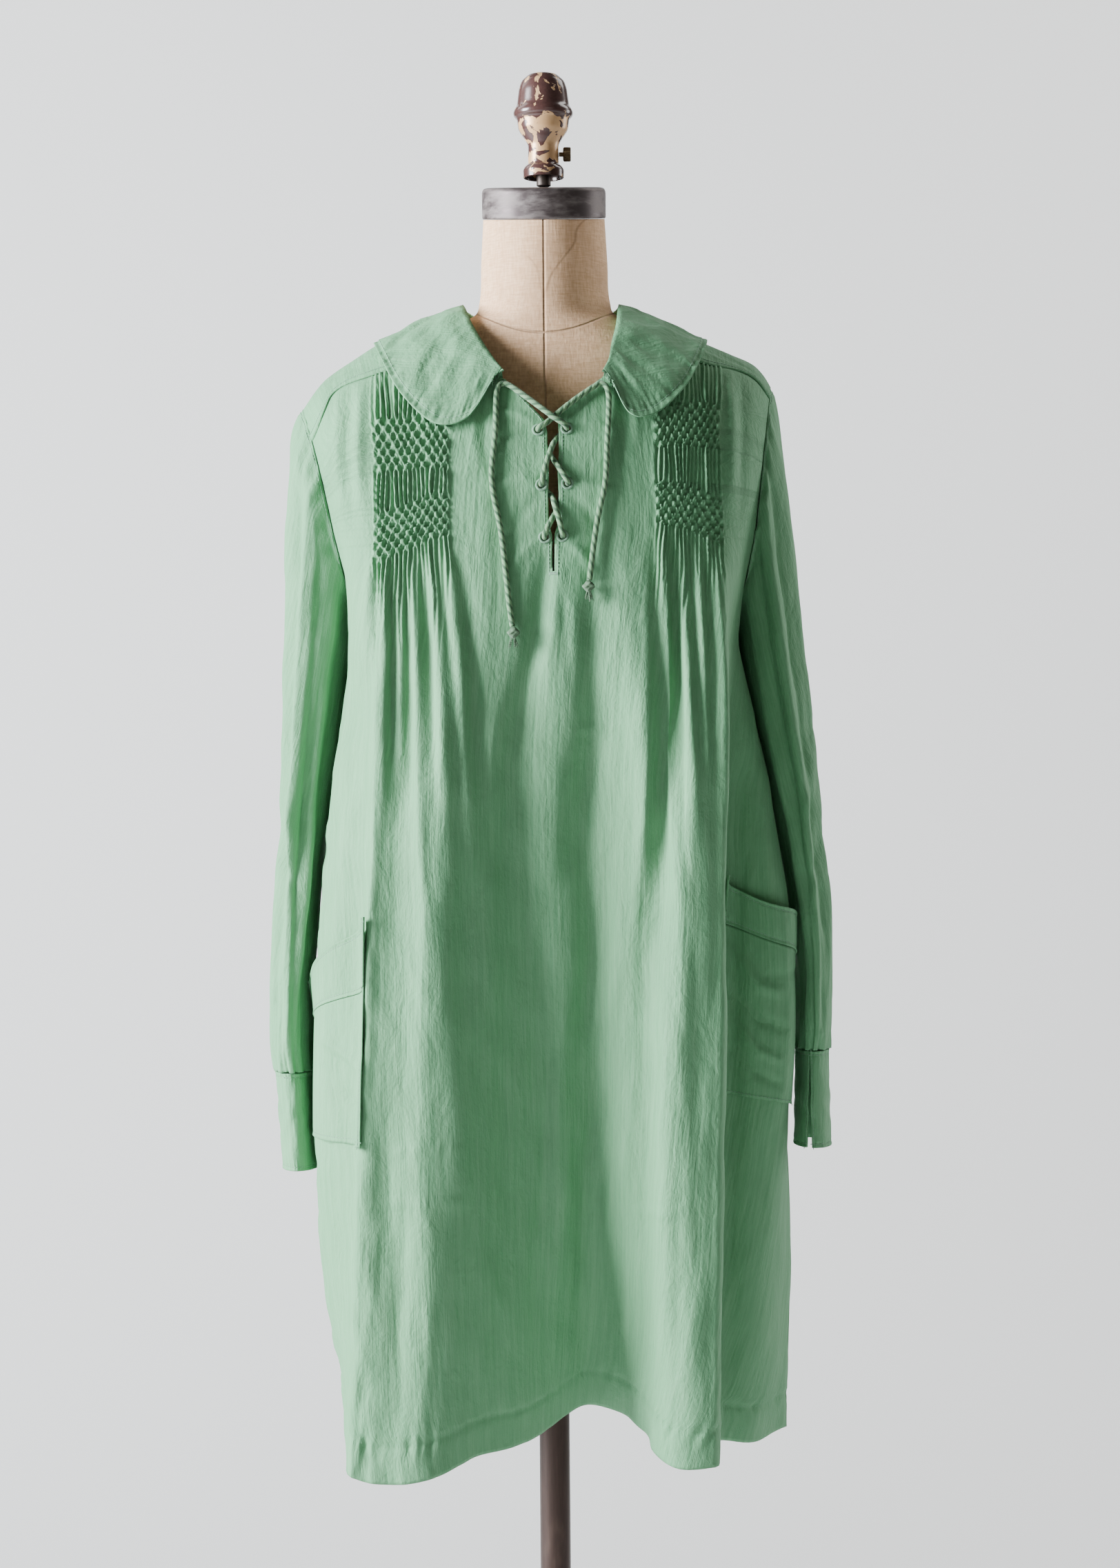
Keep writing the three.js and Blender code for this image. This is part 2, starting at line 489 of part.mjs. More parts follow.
// Closed body between two grids of points of the same size
function solidBetween(outer, inner, wraps) {
  const rows = outer.length;
  const columns = outer[0].length;
  const positions = [...outer.flat(), ...inner.flat()].flatMap((point) => point.toArray());
  const half = rows * columns;
  const faces = [];
  const quad = (a, b, c, d) => faces.push(a, b, c, a, c, d);
  const at = (r, c) => r * columns + (c % columns);
  const lastColumn = wraps ? columns : columns - 1;
  for (let c = 0; c < lastColumn; c += 1) {
    for (let r = 0; r < rows - 1; r += 1) {
      quad(at(r, c), at(r + 1, c), at(r + 1, c + 1), at(r, c + 1));
      quad(half + at(r, c), half + at(r, c + 1), half + at(r + 1, c + 1), half + at(r + 1, c));
    }
    quad(at(0, c), at(0, c + 1), half + at(0, c + 1), half + at(0, c));
    quad(at(rows - 1, c), half + at(rows - 1, c), half + at(rows - 1, c + 1), at(rows - 1, c + 1));
  }
  if (!wraps) {
    for (let r = 0; r < rows - 1; r += 1) {
      const e = columns - 1;
      quad(at(r, 0), half + at(r, 0), half + at(r + 1, 0), at(r + 1, 0));
      quad(at(r, e), at(r + 1, e), half + at(r + 1, e), half + at(r, e));
    }
  }
  return facingOut(positions, faces);
}

function facingOut(positions, faces) {
  const corner = (i) => new THREE.Vector3().fromArray(positions, 3 * i);
  let volume = 0;
  for (let i = 0; i < faces.length; i += 3) {
    const [a, b, c] = [corner(faces[i]), corner(faces[i + 1]), corner(faces[i + 2])];
    volume += a.dot(b.cross(c));
  }
  if (volume < 0) faces.reverse();
  const geometry = new THREE.BufferGeometry();
  geometry.setAttribute('position', new THREE.Float32BufferAttribute(positions, 3));
  geometry.setIndex(faces);
  return geometry;
}

// Closed body through rings of points, with both ends capped
function solidThrough(rings) {
  const count = rings[0].length;
  const middle = (ring) => ring.reduce((sum, p) => sum.add(p), new THREE.Vector3())
    .multiplyScalar(1 / count);
  const points = [...rings.flat(), middle(rings[0]), middle(rings[rings.length - 1])];
  const first = rings.length * count;
  const faces = [];
  for (let c = 0; c < count; c += 1) {
    const next = (c + 1) % count;
    for (let r = 0; r < rings.length - 1; r += 1) {
      const [a, b] = [r * count + c, r * count + next];
      faces.push(a, a + count, b + count, a, b + count, b);
    }
    const end = (rings.length - 1) * count;
    faces.push(first, c, next, first + 1, end + next, end + c);
  }
  return facingOut(points.flatMap((point) => point.toArray()), faces);
}

function toManifold(geometry) {
  const plain = geometry.clone();
  plain.deleteAttribute('normal');
  plain.deleteAttribute('uv');
  const merged = mergeVertices(plain, 1e-4);
  const mesh = new wasm.Mesh({
    numProp: 3,
    vertProperties: new Float32Array(merged.attributes.position.array),
    triVerts: new Uint32Array(merged.index.array),
  });
  return new wasm.Manifold(mesh);
}

function fromManifold(solid) {
  const mesh = solid.getMesh();
  const geometry = new THREE.BufferGeometry();
  geometry.setAttribute('position', new THREE.Float32BufferAttribute(mesh.vertProperties, 3));
  geometry.setIndex([...mesh.triVerts]);
  return geometry;
}

// Drops the small hollows that the relief encloses where it meets the wall
function largestBody(solid) {
  return solid.decompose().reduce((best, body) => (body.volume() > best.volume() ? body : best));
}

function steps(from, to, count) {
  return Array.from({ length: count + 1 }, (_, i) => THREE.MathUtils.lerp(from, to, i / count));
}

const PANEL_STEPS = [
  ...steps(0, 1, 3), 1.035, 1.068, 1.099, 1.15, 1.22, 1.32, 1.44, 1.56, 1.68, 1.79, 1.9, 2,
];

function panelColumns(face) {
  const last = PANELS[face].folds.length + 1;
  return steps(0, last, 2 * last);
}

// Point just past a panel's side edge: on the other panel below the underarm, straight on above it
function pointPastEdge(line, face, atEnd) {
  const edge = atEnd ? line[line.length - 1] : line[0];
  const beside = atEnd ? line[line.length - 2] : line[1];
  if (edge.z > UNDERARM_Z) return edge.clone().multiplyScalar(2).sub(beside);
  const other = face === 'front' ? 'back' : 'front';
  const last = PANELS[other].folds.length + 1;
  return sectionPoint(other, atEnd ? 0.5 : last - 0.5, edge.z);
}

// Moves a point towards the one beside it, along the cloth
function drawIn(point, beside, distance) {
  point.lerp(beside, Math.min(0.5, distance / point.distanceTo(beside)));
}

// A panel's closed wall, with its edges drawn in for the seams
function panelWall(face) {
  const columns = panelColumns(face);
  const grid = PANEL_STEPS.map((step) => columns.map((column) => panelPoint(face, column, step)));
  const wide = grid.map((line) => (
    [pointPastEdge(line, face, false), ...line, pointPastEdge(line, face, true)]));
  const normals = gridNormals(wide, false).map((line) => line.slice(1, -1));
  const last = columns.length - 1;
  grid.forEach((line) => {
    drawIn(line[0], line[1], SEAM_GAP / 2);
    drawIn(line[last], line[last - 1], SEAM_GAP / 2);
  });
  grid[0].forEach((point, c) => drawIn(point, grid[1][c], SEAM_GAP));
  return solidBetween(grid, moved(grid, normals, -CLOTH), false);
}

// Raised pleats of one smocked panel, drawn into a honeycomb in its two bands
function smockRelief({ fromX, toX, topZ, upper, lower, endZ }) {
  const pitch = (toX - fromX) / SMOCK_PLEATS;
  const bandRows = ([top, bottom]) => steps(top, bottom, CELL_ROWS)
    .map((z, i) => ({ z, pull: i % 2 ? -1 : 1, height: 1 }));
  const rows = [
    { z: topZ, pull: 0, height: 0.35 },
    ...bandRows(upper),
    { z: (upper[1] + lower[0]) / 2, pull: 0, height: 1 },
    ...bandRows(lower),
    { z: endZ, pull: 0, height: 0.2 },
  ];
  const columns = steps(0, SMOCK_PLEATS, 2 * SMOCK_PLEATS);
  const base = rows.map(({ z, pull }) => columns.map((pleat, c) => {
    const ridge = c % 2 === 1;
    const side = Math.floor(pleat) % 2 ? -1 : 1;
    const x = fromX + pitch * (pleat + (ridge ? CELL_PULL * pull * side : 0));
    return frontAt(x, z);
  }));
  const normals = gridNormals(base, false);
  const outer = moved(base, normals, (r, c) => (
    SMOCK_BASE + (c % 2 === 1 ? SMOCK_HEIGHT * rows[r].height : 0)));
  return solidBetween(outer, moved(base, normals, -SMOCK_SINK), false);
}

// Point of the front at a place across and a height, above or below the chest
function frontAt(x, z) {
  let low = 0;
  let high = FRONT_FOLDS.length + 1;
  const reach = (column) => {
    if (z <= LEVEL_Z.chest) return sectionPoint('front', column, z);
    const chest = sectionPoint('front', column, LEVEL_Z.chest);
    let under = 0;
    let over = 1;
    for (let step = 0; step < 16; step += 1) {
      const middle = (under + over) / 2;
      if (archPoint('front', chest.x, chest.y, middle).z < z) under = middle;
      else over = middle;
    }
    return archPoint('front', chest.x, chest.y, under);
  };
  for (let step = 0; step < 16; step += 1) {
    const middle = (low + high) / 2;
    if (reach(middle).x < x) low = middle;
    else high = middle;
  }
  return reach(low);
}

// Prism through the front, from an outline in x and z
function frontCutter(outline) {
  const shape = new THREE.Shape(outline.map(({ x, z }) => new THREE.Vector2(x, z)));
  const geometry = new THREE.ExtrudeGeometry(shape, { depth: CUT_DEPTH, bevelEnabled: false });
  return geometry.rotateX(Math.PI / 2).translate(0, CUT_FROM_Y, 0);
}

function eyeletCutter({ x, z }) {
  const angles = steps(0, 2 * Math.PI, EYELET_SIDES).slice(0, -1);
  const outline = angles.map((angle) => ({
    x: x + EYELET_RADIUS * Math.cos(angle),
    z: z + EYELET_RADIUS * Math.sin(angle),
  }));
  return frontCutter(outline);
}

function frontGeometry() {
  let solid = toManifold(panelWall('front'));
  SMOCKED.forEach((panel) => {
    solid = solid.add(toManifold(smockRelief(panel)));
  });
  [frontCutter(NECK_CUT), ...EYELETS.map(eyeletCutter)].forEach((cutter) => {
    solid = solid.subtract(toManifold(cutter));
  });
  return fromManifold(largestBody(solid));
}

function yokeGeometry(side) {
  const { seamColumn, ridgeChestX, backX } = YOKES[side];
  const columns = panelColumns('front')
    .filter((c) => (side === 'left' ? c <= seamColumn : c >= seamColumn));
  const seam = columns.map((column) => sectionPoint('front', column, LEVEL_Z.chest));
  const edgeX = ARMHOLE_CHEST_X[side];
  const neckX = side === 'left' ? seam[seam.length - 1].x : seam[0].x;
  const row = (face, neck, share) => seam.map((point) => {
    const chestX = edgeX + ((point.x - edgeX) * (neck - edgeX)) / (neckX - edgeX);
    const chestY = chestDepth(face, chestX);
    const top = topRise(face, chestX, chestY);
    return archPoint(face, chestX, chestY, 1 - (1 - top) * share);
  });
  const frontRows = steps(1, 0, YOKE_ROWS)
    .map((share) => row('front', THREE.MathUtils.lerp(ridgeChestX, neckX, share), share));
  const backRows = steps(0, 1, YOKE_ROWS).slice(1)
    .map((share) => row('back', THREE.MathUtils.lerp(ridgeChestX, backX, share), share));
  const grid = [...frontRows, ...backRows];
  const last = grid.length - 1;
  grid[last].forEach((point, c) => drawIn(point, grid[last - 1][c], YOKE_BACK_GAP));
  grid[0].forEach((point, c) => drawIn(point, grid[1][c], SEAM_GAP / 2));
  const normals = gridNormals(grid, false, 0, ARCH_CENTRE_Z);
  return solidBetween(grid, moved(grid, normals, -CLOTH), false);
}

// Armhole ring: angle 0 at the shoulder, half a turn at the underarm, the front half first
function armholePoint(side, angle) {
  const face = angle <= Math.PI ? 'front' : 'back';
  const height = Math.cos(angle);
  if (height >= 0) {
    const depth = face === 'front' ? -ARMHOLE_HALF_DEPTH : ARMHOLE_HALF_DEPTH;
    return archPoint(face, ARMHOLE_CHEST_X[side], depth, Math.min(height, NEAR_RIDGE));
  }
  const drop = (LEVEL_Z.chest - UNDERARM_Z) * -height;
  return edgePoint(side, face, Math.max(LEVEL_Z.chest - drop, UNDERARM_Z + 0.001));
}

function ringPoint({ outer, inner, halfDepth }, angle, swell) {
  const reach = (1 + Math.cos(angle)) / 2;
  const x = THREE.MathUtils.lerp(inner[0], outer[0], reach);
  const z = THREE.MathUtils.lerp(inner[1], outer[1], reach);
  const centreX = (inner[0] + outer[0]) / 2;
  const y = -halfDepth * Math.sin(angle);
  return new THREE.Vector3(x + (x - centreX) * swell, y * (1 + swell), z);
}

function sleeveGeometry(side) {
  const rings = SLEEVES[side];
  const sign = side === 'left' ? -1 : 1;
  const angles = steps(0, 2 * Math.PI, SLEEVE_COLUMNS).slice(0, -1);
  const start = angles.map((angle) => {
    const point = armholePoint(side, angle);
    point.x += sign * ARMHOLE_GAP;
    return point;
  });
  const grid = [start, ...rings.map((ring, i) => angles.map((angle) => {
    const nearCuff = Math.max(0, 1 - (rings.length - 1 - i) / GATHERED_RINGS);
    const swell = GATHER_SWELL * nearCuff * Math.cos(CUFF_GATHERS * angle);
    return ringPoint(ring, angle, swell);
  }))];
  const middle = start.reduce((sum, p) => sum.add(p), new THREE.Vector3())
    .multiplyScalar(1 / start.length);
  const normals = gridNormals(grid, true, sign * SLEEVE_AXIS_X);
  normals[0] = start.map((point) => point.clone().sub(middle).normalize());
  const last = grid.length - 1;
  grid[last].forEach((point) => { point.z += SEAM_GAP; });
  return solidBetween(grid, moved(grid, normals, -CLOTH), true);
}

function cuffGeometry(side) {
  const { x, z, halfWidth, halfDepth, slitAngle, slitHalfAngle } = CUFFS[side];
  const lerp = THREE.MathUtils.lerp;
  const grid = steps(0, 1, 3).map((down) => {
    const opening = lerp(slitHalfAngle[0], slitHalfAngle[1], down);
    return steps(slitAngle + opening, slitAngle + 2 * Math.PI - opening, 22).map((angle) => (
      new THREE.Vector3(
        lerp(x[0], x[1], down) + lerp(halfWidth[0], halfWidth[1], down) * Math.cos(angle),
        lerp(halfDepth[0], halfDepth[1], down) * -Math.sin(angle),
        lerp(z[0], z[1], down),
      )));
  });
  return solidBetween(grid, moved(grid, gridNormals(grid, false, x[0]), -CUFF_WALL), false);
}

// Pocket pieces lie on the front panel's own columns, moved out
function pocketPiece(side, upper, lower, out, thickness, rows) {
  const { columns } = POCKETS[side];
  const count = Math.round(Math.abs(columns[1] - columns[0]) * 2);
  const list = steps(columns[0], columns[1], count);
  const grid = steps(0, 1, rows).map((down) => list.map((column, i) => {
    const share = i / count;
    const top = THREE.MathUtils.lerp(upper[0], upper[1], share);
    const bottom = THREE.MathUtils.lerp(lower[0], lower[1], share);
    return sectionPoint('front', column, THREE.MathUtils.lerp(top, bottom, down));
  }));
  const normals = gridNormals(grid, false);
  const inner = moved(grid, normals, (r) => out * (1 - r / rows) + LAID_GAP);
  const outer = moved(grid, normals, (r) => out * (1 - r / rows) + LAID_GAP + thickness);
  return solidBetween(outer, inner, false);
}

function pocketGeometry(side) {
  const { seam, bottom } = POCKETS[side];
  const lowered = seam.map((z) => z - SEAM_GAP);
  return pocketPiece(side, lowered, bottom, 0, POCKET_WALL, 6);
}

function pocketBandGeometry(side) {
  const { top, seam } = POCKETS[side];
  return pocketPiece(side, top, seam, BAND_FLARE, BAND_WALL, 3);
}

// Height of the dress over a place in plan, for what lies on the shoulders
function shoulderHeight(x, y) {
  const face = y < 0 ? 'front' : 'back';
  const power = ARCH_POWER[face];
  const ridge = along(RIDGE, 'z', x) - LEVEL_Z.chest;
  const spread = 1 + SHOULDER_SPREAD[x < 0 ? 'left' : 'right'] * SPREAD_AT_COLLAR;
  const share = Math.min(NEAR_EDGE, Math.abs(y / chestDepth(face, x / spread)));
  return LEVEL_Z.chest + ridge * (1 - share ** power) ** (1 / power);
}

function collarGeometry() {
  const plan = (key) => new THREE.CatmullRomCurve3(
    COLLAR.map((row) => new THREE.Vector3(row[key][0], row[key][1], row.lift)), false, 'centripetal');
  const neck = plan('neck');
  const outer = plan('outer');
  const grid = steps(0, 1, 3).map((across) => steps(0, 1, 2 * (COLLAR.length - 1)).map((round) => {
    const point = neck.getPoint(round).lerp(outer.getPoint(round), across);
    const lift = point.z;
    point.z = shoulderHeight(point.x, point.y);
    return { point, lift };
  }));
  const base = grid.map((line) => line.map(({ point }) => point));
  const normals = gridNormals(base, false, 0, ARCH_CENTRE_Z);
  const lower = moved(base, normals, (r, c) => grid[r][c].lift - CLOTH);
  return solidBetween(moved(lower, normals, CLOTH), lower, false);
}

function laceGeometry({ route }) {
  const section = new THREE.Shape(steps(0, LACE_SIDES - 1, LACE_SIDES - 1).map((i) => (
    new THREE.Vector2(LACE_RADIUS, 0).rotateAround(new THREE.Vector2(), (i * 2 * Math.PI) / LACE_SIDES)
  )));
  const path = new THREE.CatmullRomCurve3(route.map((point) => new THREE.Vector3(...point)));
  return new THREE.ExtrudeGeometry(section, { steps: LACE_STEPS, extrudePath: path, bevelEnabled: false });
}

// Leans a point of the neck forward, more with height
function tilted(point) {
  const share = THREE.MathUtils.smoothstep(point.z, TILT_FROM_Z, TILT_FULL_Z);
  point.z += point.y * Math.tan(NECK_TILT) * share;
  return point;
}

function formGeometry() {
  const rings = FORM_RINGS.map(({ z, halfWidth, front, back }) => (
    steps(0, 2 * Math.PI, FORM_COLUMNS).slice(0, -1).map((angle) => {
      const depth = Math.sin(angle) < 0 ? front : back;
      return tilted(new THREE.Vector3(halfWidth * Math.cos(angle), depth * Math.sin(angle), z));
    })));
  return solidThrough(rings);
}

// Round pieces turned from a profile of radius and height
function turned(profile, segments = 28) {
  const points = profile.map(({ r, z }) => new THREE.Vector2(r, z));
  const geometry = new THREE.LatheGeometry(points, segments);
  return geometry.rotateX(Math.PI / 2);
}

const cloth = new THREE.MeshStandardMaterial({ color: 0x7fae8c, roughness: 0.75, metalness: 0 });
const cordGreen = new THREE.MeshStandardMaterial({ color: 0x3f8a63, roughness: 0.8, metalness: 0 });
const linen = new THREE.MeshStandardMaterial({ color: 0xcdb296, roughness: 0.85, metalness: 0 });
const greyMetal = new THREE.MeshStandardMaterial({ color: 0x5f5858, roughness: 0.5, metalness: 0.6 });
const brownMetal = new THREE.MeshStandardMaterial({ color: 0x4b3a34, roughness: 0.45, metalness: 0.7 });
const castIron = new THREE.MeshStandardMaterial({ color: 0x3a3533, roughness: 0.6, metalness: 0.6 });
const paintedBrass = new THREE.MeshStandardMaterial({ color: 0x7a5a4c, roughness: 0.35, metalness: 0.5 });

const dress = new THREE.Group();
dress.name = 'tunic_dress';

function addPiece(name, geometry, material) {
  const mesh = new THREE.Mesh(geometry, material);
  mesh.name = name;
  dress.add(mesh);
  return mesh;
}

addPiece('front', frontGeometry(), cloth);
addPiece('back', panelWall('back'), cloth);
addPiece('collar', collarGeometry(), cloth);
for (const side of ['left', 'right']) {
  addPiece(`yoke_${side}`, yokeGeometry(side), cloth);
  addPiece(`sleeve_${side}`, sleeveGeometry(side), cloth);
  addPiece(`cuff_${side}`, cuffGeometry(side), cloth);
  addPiece(`pocket_${side}`, pocketGeometry(side), cloth);
  addPiece(`pocket_band_${side}`, pocketBandGeometry(side), cloth);
  addPiece(`lace_${side}`, laceGeometry(LACES[side]), cordGreen);
  addPiece(`lace_knot_${side}`, turned(KNOT_PROFILE, 8), cordGreen)
    .position.set(...LACES[side].knot);
}

addPiece('form_body', formGeometry(), linen);
const cap = addPiece('neck_cap', turned(CAP_PROFILE, 28), greyMetal);
cap.position.set(0, 0, CAP_Z);
cap.rotation.x = NECK_TILT;
addPiece('neck_rod', turned(ROD_PROFILE, 16), castIron);
addPiece('finial', turned(FINIAL_PROFILE, 16), paintedBrass);
const screw = addPiece('thumb_screw', turned(SCREW_PROFILE, 12), castIron);
screw.position.set(SCREW_X, 0, SCREW_Z);
screw.rotation.y = Math.PI / 2;
addPiece('form_plate', turned(PLATE_PROFILE, 20), castIron);
addPiece('pole', turned(POLE_PROFILE, 20), brownMetal);
addPiece('stand_base', turned(BASE_PROFILE, 32), castIron);

export default dress;
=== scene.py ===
import math

import bmesh
import bpy
import numpy as np
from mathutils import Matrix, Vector


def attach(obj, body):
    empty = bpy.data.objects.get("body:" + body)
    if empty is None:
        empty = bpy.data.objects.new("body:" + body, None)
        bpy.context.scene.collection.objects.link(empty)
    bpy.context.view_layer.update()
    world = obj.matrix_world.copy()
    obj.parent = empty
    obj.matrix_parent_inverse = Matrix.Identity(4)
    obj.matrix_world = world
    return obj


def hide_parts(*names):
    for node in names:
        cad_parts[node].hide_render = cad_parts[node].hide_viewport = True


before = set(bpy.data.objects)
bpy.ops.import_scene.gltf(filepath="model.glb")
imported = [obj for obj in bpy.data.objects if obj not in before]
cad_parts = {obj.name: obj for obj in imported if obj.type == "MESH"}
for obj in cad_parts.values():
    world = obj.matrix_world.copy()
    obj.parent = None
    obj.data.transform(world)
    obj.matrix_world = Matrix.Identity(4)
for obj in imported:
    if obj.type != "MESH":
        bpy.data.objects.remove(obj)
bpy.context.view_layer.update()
BODY = "stand_and_dress"
MM = 0.001

# Camera, floor and light: a plain pale floor with a narrow sweep of paper behind it, in soft window
# light from the viewer's left, seen level from 2.75 m with a long lens turned half a degree.
camera_data = bpy.data.cameras.new("camera")
camera_data.sensor_fit = "VERTICAL"
camera_data.sensor_height = 36
camera_data.lens = 75.06
camera = bpy.data.objects.new("camera", camera_data)
camera.location = (0.0093, -2.75, 1.016)
camera.rotation_euler = (math.radians(90), math.radians(0.502), 0)
bpy.context.collection.objects.link(camera)
bpy.context.scene.camera = camera


def shade(red, green, blue):
    """Colour as written on a swatch, 0 to 255, for a shader."""
    return [*(((c / 255 + 0.055) / 1.055) ** 2.4 if c > 10 else c / 3294.6
              for c in (red, green, blue)), 1.0]


def feed(material, node, inputs):
    """Values or sockets into a node's inputs, by name (_ for a space) or by number (n0, n1)."""
    for key, value in inputs.items():
        numbered = key[0] == "n" and key[1:].isdigit()
        socket = node.inputs[int(key[1:]) if numbered else key.replace("_", " ")]
        if isinstance(value, bpy.types.NodeSocket):
            material.node_tree.links.new(value, socket)
        else:
            socket.default_value = value


def dress(material, **inputs):
    """Values or sockets into a material's main shader."""
    feed(material, material.node_tree.nodes["Principled BSDF"], inputs)


def finish(name, colour, roughness, metallic=0.0):
    """A new material with its main shader."""
    material = bpy.data.materials.new(name)
    material.use_nodes = True
    dress(material, Base_Color=shade(*colour), Roughness=roughness, Metallic=metallic)
    return material


def finished(name, points, faces, material, uv=None, smooth=True):
    """A mesh object from points in millimetres."""
    mesh = bpy.data.meshes.new(name)
    mesh.from_pydata((np.asarray(points, float) * MM).tolist(), [], faces)
    if uv is not None:
        layer = mesh.uv_layers.new(name="cloth")
        layer.data.foreach_set("uv", np.asarray(uv, float).ravel())
    mesh.materials.append(material)
    if smooth:
        mesh.polygons.foreach_set("use_smooth", np.ones(len(mesh.polygons), bool))
    mesh.update()
    piece = bpy.data.objects.new(name, mesh)
    bpy.context.collection.objects.link(piece)
    return piece


def lamp(name, place, aim, size, power, colour):
    data = bpy.data.lights.new(name, "AREA")
    data.shape = "RECTANGLE"
    data.size, data.size_y = size
    data.energy = power
    data.color = shade(*colour)[:3]
    light = bpy.data.objects.new(name, data)
    light.location = place
    light.rotation_euler = (Vector(aim) - Vector(place)).to_track_quat("-Z", "Y").to_euler()
    bpy.context.collection.objects.link(light)


lamp("window", (-2.8, -0.82, 1.8), (0, 0, 1.05), (1.2, 1.9), 455, (245, 250, 255))
lamp("room", (1.4, -3.5, 2.0), (0.1, 0, 1.0), (2.0, 1.4), 8, (255, 249, 240))
lamp("far wall", (2.6, 1.1, 1.5), (0, 0, 1.1), (0.9, 1.7), 34, (250, 251, 252))
lamp("paper light left", (-1.6, 0.9, 2.9), (-0.2, 2.3, 0.9), (1.8, 1.0), 20, (255, 253, 250))
lamp("paper light right", (1.6, 0.9, 2.9), (0.4, 2.3, 0.9), (1.8, 1.0), 34, (255, 253, 250))
world = bpy.data.worlds.new("room")
world.use_nodes = True
world.node_tree.nodes["Background"].inputs["Color"].default_value = shade(222, 216, 204)
world.node_tree.nodes["Background"].inputs["Strength"].default_value = 0.08
bpy.context.scene.world = world

# The paper's line in y and z, in metres: flat on the floor, round a wide bend and up
PAPER_HALF_WIDTH, BEND_START, BEND_RADIUS = 1.3, 1.3, 1.2
paper = finish("studio paper", (222, 222, 221), 0.9)
paper_line = [(0.8, 0.0005), (BEND_START, 0.001)]
paper_line += [(BEND_START + BEND_RADIUS * math.sin(a), BEND_RADIUS - BEND_RADIUS * math.cos(a))
               for a in np.radians(np.arange(7.5, 91, 7.5))]
paper_line.append((BEND_START + BEND_RADIUS, 4.5))
sweep_points = [(x * 1000, y * 1000, z * 1000) for y, z in paper_line
                for x in (-PAPER_HALF_WIDTH, PAPER_HALF_WIDTH)]
sweep_faces = [(2 * i, 2 * i + 1, 2 * i + 3, 2 * i + 2) for i in range(len(paper_line) - 1)]
sweep = finished("paper_sweep", sweep_points, sweep_faces, paper)
floor_points = [(-5000, -6000, 0), (5000, -6000, 0), (5000, 6000, 0), (-5000, 6000, 0)]
floor = finished("floor", floor_points, [(0, 1, 2, 3)], paper)

# Lace: one soft twisted cord of sage cotton with a thin darker ply, 4.4 mm thick. It starts behind
# the foot of the slit, crosses it through worked eyelets, goes round at the neck and ends in two
# frayed knots.
LACE_RADIUS = 2.2
TWIST_PITCH = 15.0
STRANDS, FINE_PLIES = 2, 12
LACES = {
    "left": {
        "route": [
            (6.7, -116, 1210), (9.6, -116, 1211), (13.1, -118, 1214.2), (13.2, -122, 1216.2),
            (12.4, -124.2, 1220.5), (9.8, -123.6, 1231), (7.4, -121.8, 1239), (5.5, -117.5, 1246),
            (2.4, -113.6, 1250.6), (-0.6, -112.8, 1253.6), (-2.9, -115.6, 1256.2),
            (-3.6, -119.4, 1257.8), (-2.6, -121.8, 1262), (0.4, -120.2, 1274), (3.4, -117.4, 1283),
            (6, -112.6, 1290), (8.9, -107.4, 1295.2), (13.6, -104.4, 1299.8), (17, -107, 1302.4),
            (17.2, -110.8, 1303.6), (15.4, -113.6, 1306.4), (8, -114.4, 1311.2),
            (0, -112.8, 1317.2), (-12, -107.4, 1326.8), (-22, -103, 1334.6), (-29, -99.8, 1339.6),
            (-33, -98.8, 1341), (-36.6, -99.6, 1340.4), (-39, -101.8, 1335.6),
            (-39.8, -105.4, 1325), (-40.2, -111.9, 1303), (-43.6, -119, 1267),
            (-42.4, -120.7, 1251), (-36.6, -122.4, 1221), (-32.5, -126.7, 1184),
            (-28.6, -130.2, 1148), (-27.4, -131.4, 1142.6)],
        "knot": (-26.9, -132.6, 1137.2), "seed": 4},
    "right": {
        "route": [
            (5.1, -116, 1209.8), (2.2, -116, 1210.4), (-1.3, -118, 1213.2), (-1.4, -122, 1215),
            (-0.6, -124.2, 1218.6), (2.2, -123, 1224.4), (5.6, -118.9, 1231), (9, -115.2, 1238.5),
            (12.2, -112.6, 1247), (15.6, -112.8, 1253.6), (17.7, -115.8, 1257),
            (17.6, -120.4, 1259), (15.4, -121.8, 1263.4), (10.8, -120.2, 1270.6),
            (6.6, -114, 1277.4), (2.4, -109.4, 1284.4), (-1.6, -107, 1292), (-4.2, -106.2, 1298.4),
            (-5.4, -108.4, 1301.2), (-5.8, -111.8, 1303), (-3.2, -113.4, 1305),
            (0.4, -112.4, 1307.2),
            (3.9, -108.4, 1310.4), (8.6, -109.6, 1314.4), (14, -109, 1318.8), (24, -105.6, 1326.8),
            (34, -102.6, 1334), (41, -100.6, 1338.6), (45, -99.6, 1340.6), (49, -100.6, 1338.6),
            (51.4, -103.8, 1331), (51.4, -108, 1318), (50.4, -112.6, 1303), (49.6, -115.6, 1288),
            (47.7, -120.5, 1258), (41.4, -122.2, 1229), (38, -124.1, 1207), (34.4, -127.6, 1179.6)],
        "knot": (33.6, -129.8, 1174), "seed": 9},
}


def step_in(material, kind, settings=None, **inputs):
    """Adds a node: settings are its own options, inputs are values or sockets."""
    node = material.node_tree.nodes.new(kind)
    for key, value in (settings or {}).items():
        setattr(node, key, value)
    feed(material, node, inputs)
    return node


def place_of(material, scale=(1, 1, 1), uv=None):
    """Pattern coordinates: the object's own metres, or a named UV map."""
    if uv:
        source = step_in(material, "ShaderNodeUVMap", {"uv_map": uv}).outputs["UV"]
    else:
        source = step_in(material, "ShaderNodeTexCoord").outputs["Object"]
    mapping = step_in(material, "ShaderNodeMapping", Vector=source, Scale=scale)
    return mapping.outputs["Vector"]


def axes_of(material, vector):
    """The X, Y and Z of a vector, by name."""
    return step_in(material, "ShaderNodeSeparateXYZ", Vector=vector).outputs


